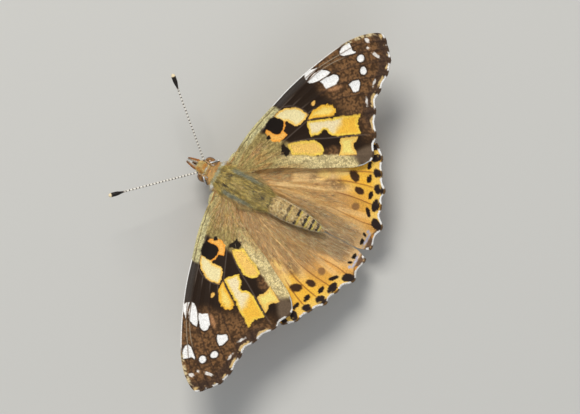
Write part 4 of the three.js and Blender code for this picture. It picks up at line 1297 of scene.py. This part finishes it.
def buildLeg(kind, side, mark, across, walking):
    mesh, fine, path = limbTube(f"{kind}Skin_{mark}", side, limbs[kind], across, 150, 20, 1.0, walking)
    paintLeg(mesh, side)
    newPiece(f"{kind}Skin_{mark}", mesh, legMaterial, "leg", f"{kind}_{mark}")
    hair = legHair["walking" if walking else "folded"]
    count = hair["tufts"]
    step = random.uniform(0.06, 0.97, count)
    row = (step * (len(fine) - 1)).astype(int)
    turn = random.uniform(0, 2 * math.pi, count)
    tangent, u, v = tubeFrame(path, np.array(across, float))
    normal = u[row] * np.cos(turn)[:, None] + v[row] * np.sin(turn)[:, None]
    roots = path[row] + normal * (fine[row, 3] * metre)[:, None]
    keep = roots[:, 2] > legHair["floorClear"] * metre
    spine = (random.random(count) < legHair["spineShare"]) & (step > 0.4)
    long = np.where(spine, legHair["spineLength"], hair["length"]) * random.uniform(0.7, 1.2, count)
    lift = np.where(spine, 0.7, 0.25)[:, None]
    along = tangent[row] + lift * normal + random.normal(0, 0.1, (count, 3))
    along[:, 2] = np.where(roots[:, 2] < 0.5 * metre, np.maximum(along[:, 2], 0.05), along[:, 2])
    colour = np.where(spine[:, None], paintColour("legSpine"), paintColour("legHair"))
    width = np.where(spine, legHair["spineWidth"], legHair["width"])
    rootUv = patchPlace(turn / (2 * math.pi), step)
    makeCoat(f"{kind}Hair_{mark}", roots[keep], along[keep], normal[keep], long[keep], width[keep],
             colour[keep] * 0.85, colour[keep], rootUv[keep], legHair["bend"], "leg")
    if walking:
        clawPair(f"{kind}Claws_{mark}", side, limbs[kind][-1], limbs[kind][-2])


def clawPair(name, side, tip, before):
    tip, before = np.array(tip[:3]), np.array(before[:3])
    ahead = (tip - before) / np.linalg.norm(tip - before)
    level = np.cross(ahead, (0, 0, 1.0))
    for k, turn in enumerate((-1, 1)):
        table = [(*(tip + ahead * reach + level * turn * aside + (0, 0, up)), radius)
                 for reach, aside, up, radius in clawBend]
        mesh = limbTube(f"{name}{k}", side, table, (side * level[0], -level[1], 0), 14, 8, 1.0, True)[0]
        setPaint(mesh, plain("claw", mesh.vertices))
        newPiece(f"{name}{k}", mesh, hornMaterial, "leg")


legPlanes = {"foreleg": (1, 0.4), "midleg": (0.05, 1), "hindleg": (-0.95, 0.5)}
buildTongue()
for side, mark in bothSides:
    buildAntenna(side, mark)
    buildPalp(side, mark)
    for kind, (out, fore) in legPlanes.items():
        buildLeg(kind, side, mark, (side * out, -fore, 0), kind != "foreleg")
print("feelers, tongue and legs made")


# Wing hair: long silky hair over the wing bases and the inner hindwings, and the fringe

def wingSurface(side, wing, flat, lift):
    out, fore = flat.T
    z = wing["height"](out, fore)
    step = 0.05
    slopeOut = (wing["height"](out + step, fore) - z) / step
    slopeFore = (wing["height"](out, fore + step) - z) / step
    normal = np.stack([-side * slopeOut, slopeFore, np.ones_like(z)], 1)
    normal /= np.linalg.norm(normal, axis=1)[:, None]
    return place(side, out, fore, z + lift), normal


def wingHair(name, side, wing, slot, tufts, where, centre, colours, length, width, lift, face=1):
    leading, trailing = np.array(wing["edge"]), np.array(wing["inner"])[::-1]
    outline = np.concatenate([leading, trailing])
    low, high = outline.min(0), outline.max(0)
    flat = random.uniform(low, high, (tufts * 8, 2))
    ring = np.concatenate([leading, [line[-1] for _, _, line in wing["veins"]], trailing])
    weight = where(*flat.T) * (inside(flat, ring) > 0.05)
    flat = flat[random.random(len(flat)) < weight][:tufts]
    n = len(flat)
    roots, normal = wingSurface(side, wing, flat, face * 0.06)
    away = flat - np.array(centre)
    away /= np.linalg.norm(away, axis=1)[:, None]
    along = wingSurface(side, wing, flat + away * 0.5, face * 0.06)[0] - roots
    along /= np.linalg.norm(along, axis=1)[:, None]
    normal = normal * face
    along = along + normal * lift + random.normal(0, 0.07, (n, 3))
    colour = np.array(colours, float)[random.integers(0, len(colours), n)]
    rootUv = patchPlace(*((flat - low) / (high - low)).T)
    long = length * random.uniform(0.6, 1.2, n)
    makeCoat(name, roots, along, normal, long, width, colour * 0.95, colour * 1.08, rootUv,
             lift * 0.7, slot)


fringe = {"tufts": 2600, "width": 0.035, "deepest": 0.22, "leastDeep": 0.08, "past": 0.1, "bend": 0.02}


def wingFringe(name, side, wing, slot):
    sheet, lines, edge, _ = wingSheet(wing)
    margin = smoothLine(sheet[::3, -1], 900)
    tangent = np.gradient(margin, axis=0)
    tangent /= np.linalg.norm(tangent, axis=1)[:, None]
    outward = np.stack([-tangent[:, 1], tangent[:, 0]], 1)
    middle = len(margin) // 2
    if np.dot(outward[middle], margin[middle] - edge[0]) < 0:
        outward = -outward
    pick = random.integers(0, len(margin), fringe["tufts"])
    tooth = nearest(margin[pick], np.array([line[-1] for line in lines]))
    depth = random.uniform(fringe["leastDeep"], fringe["deepest"], len(pick))
    flat = margin[pick] - outward[pick] * depth[:, None]
    roots, normal = wingSurface(side, wing, flat, 0.0)
    roots = roots + normal * (random.uniform(-0.04, 0.05, len(pick)) * metre)[:, None]
    goes = outward[pick] + random.normal(0, 0.16, len(pick))[:, None] * tangent[pick]
    along = wingSurface(side, wing, flat + goes * 0.4, 0.0)[0] - roots
    pale = cover(tooth - 0.55 + random.normal(0, 0.06, len(pick)), 0.1)
    colour = plain("fringeBrown", pick)
    lay(colour, "white", pale)
    reach = depth + random.uniform(0.0, fringe["past"], len(pick))
    rootUv = np.stack([pick / len(margin) * 0.96 + 0.02, 0.97 - depth * 0.1], 1)
    makeCoat(name, roots, along, normal, reach, fringe["width"], colour * 0.92, colour, rootUv,
             fringe["bend"], slot)


hairTan = [(244, 200, 134), (230, 180, 112), (250, 216, 156), (206, 160, 98), (238, 188, 118)]
hairGrey = [(242, 208, 156), (226, 188, 138), (252, 226, 182), (206, 168, 120)]
# "where" gives the share of tufts that grow at a place, and "centre" is where they all lean from
wingHairs = {
    "foreBaseHair": dict(
        wing=foreWing, slot="forewing_scales", tufts=2600, centre=(1.0, 1.2), colours=hairTan,
        length=1.0, width=0.03, lift=0.12,
        where=lambda out, fore: (1 - smoothStep(out, 4.0, 8.5)) * smoothStep(2.3 - fore, 0.2, 2.5)),
    "hindHair": dict(
        wing=hindWing, slot="hindwing_scales", tufts=7000, centre=(1.0, -0.5), colours=hairTan,
        length=1.5, width=0.028, lift=0.08,
        where=lambda out, fore: 1 - smoothStep(np.hypot(out - 1, 0.55 * (fore + 3)), 5.0, 9.0)),
    "innerHair": dict(
        wing=hindWing, slot="hindwing_scales", tufts=4200, centre=(0.9, 2.0), colours=hairGrey,
        length=1.7, width=0.028, lift=0.16,
        where=lambda out, fore: ((1 - smoothStep(out, 1.4, 3.6)) * smoothStep(-fore, 5, 8)
                                 * (1 - smoothStep(-fore, 18.6, 20.4)))),
    "underHair": dict(
        wing=hindWing, slot="hindwing_scales", tufts=2600, centre=(0.9, 0.0), colours=hairGrey,
        length=1.2, width=0.028, lift=0.1, face=-1,
        where=lambda out, fore: ((1 - smoothStep(out, 2.0, 4.5)) * smoothStep(-fore, 3, 6)
                                 * (1 - smoothStep(-fore, 19, 21)))),
}
for side, mark in bothSides:
    for name, hair in wingHairs.items():
        wingHair(f"{name}_{mark}", side, **hair)
    wingFringe(f"foreFringe_{mark}", side, foreWing, "forewing_scales")
    wingFringe(f"hindFringe_{mark}", side, hindWing, "hindwing_scales")
print("wing hair and fringe made")
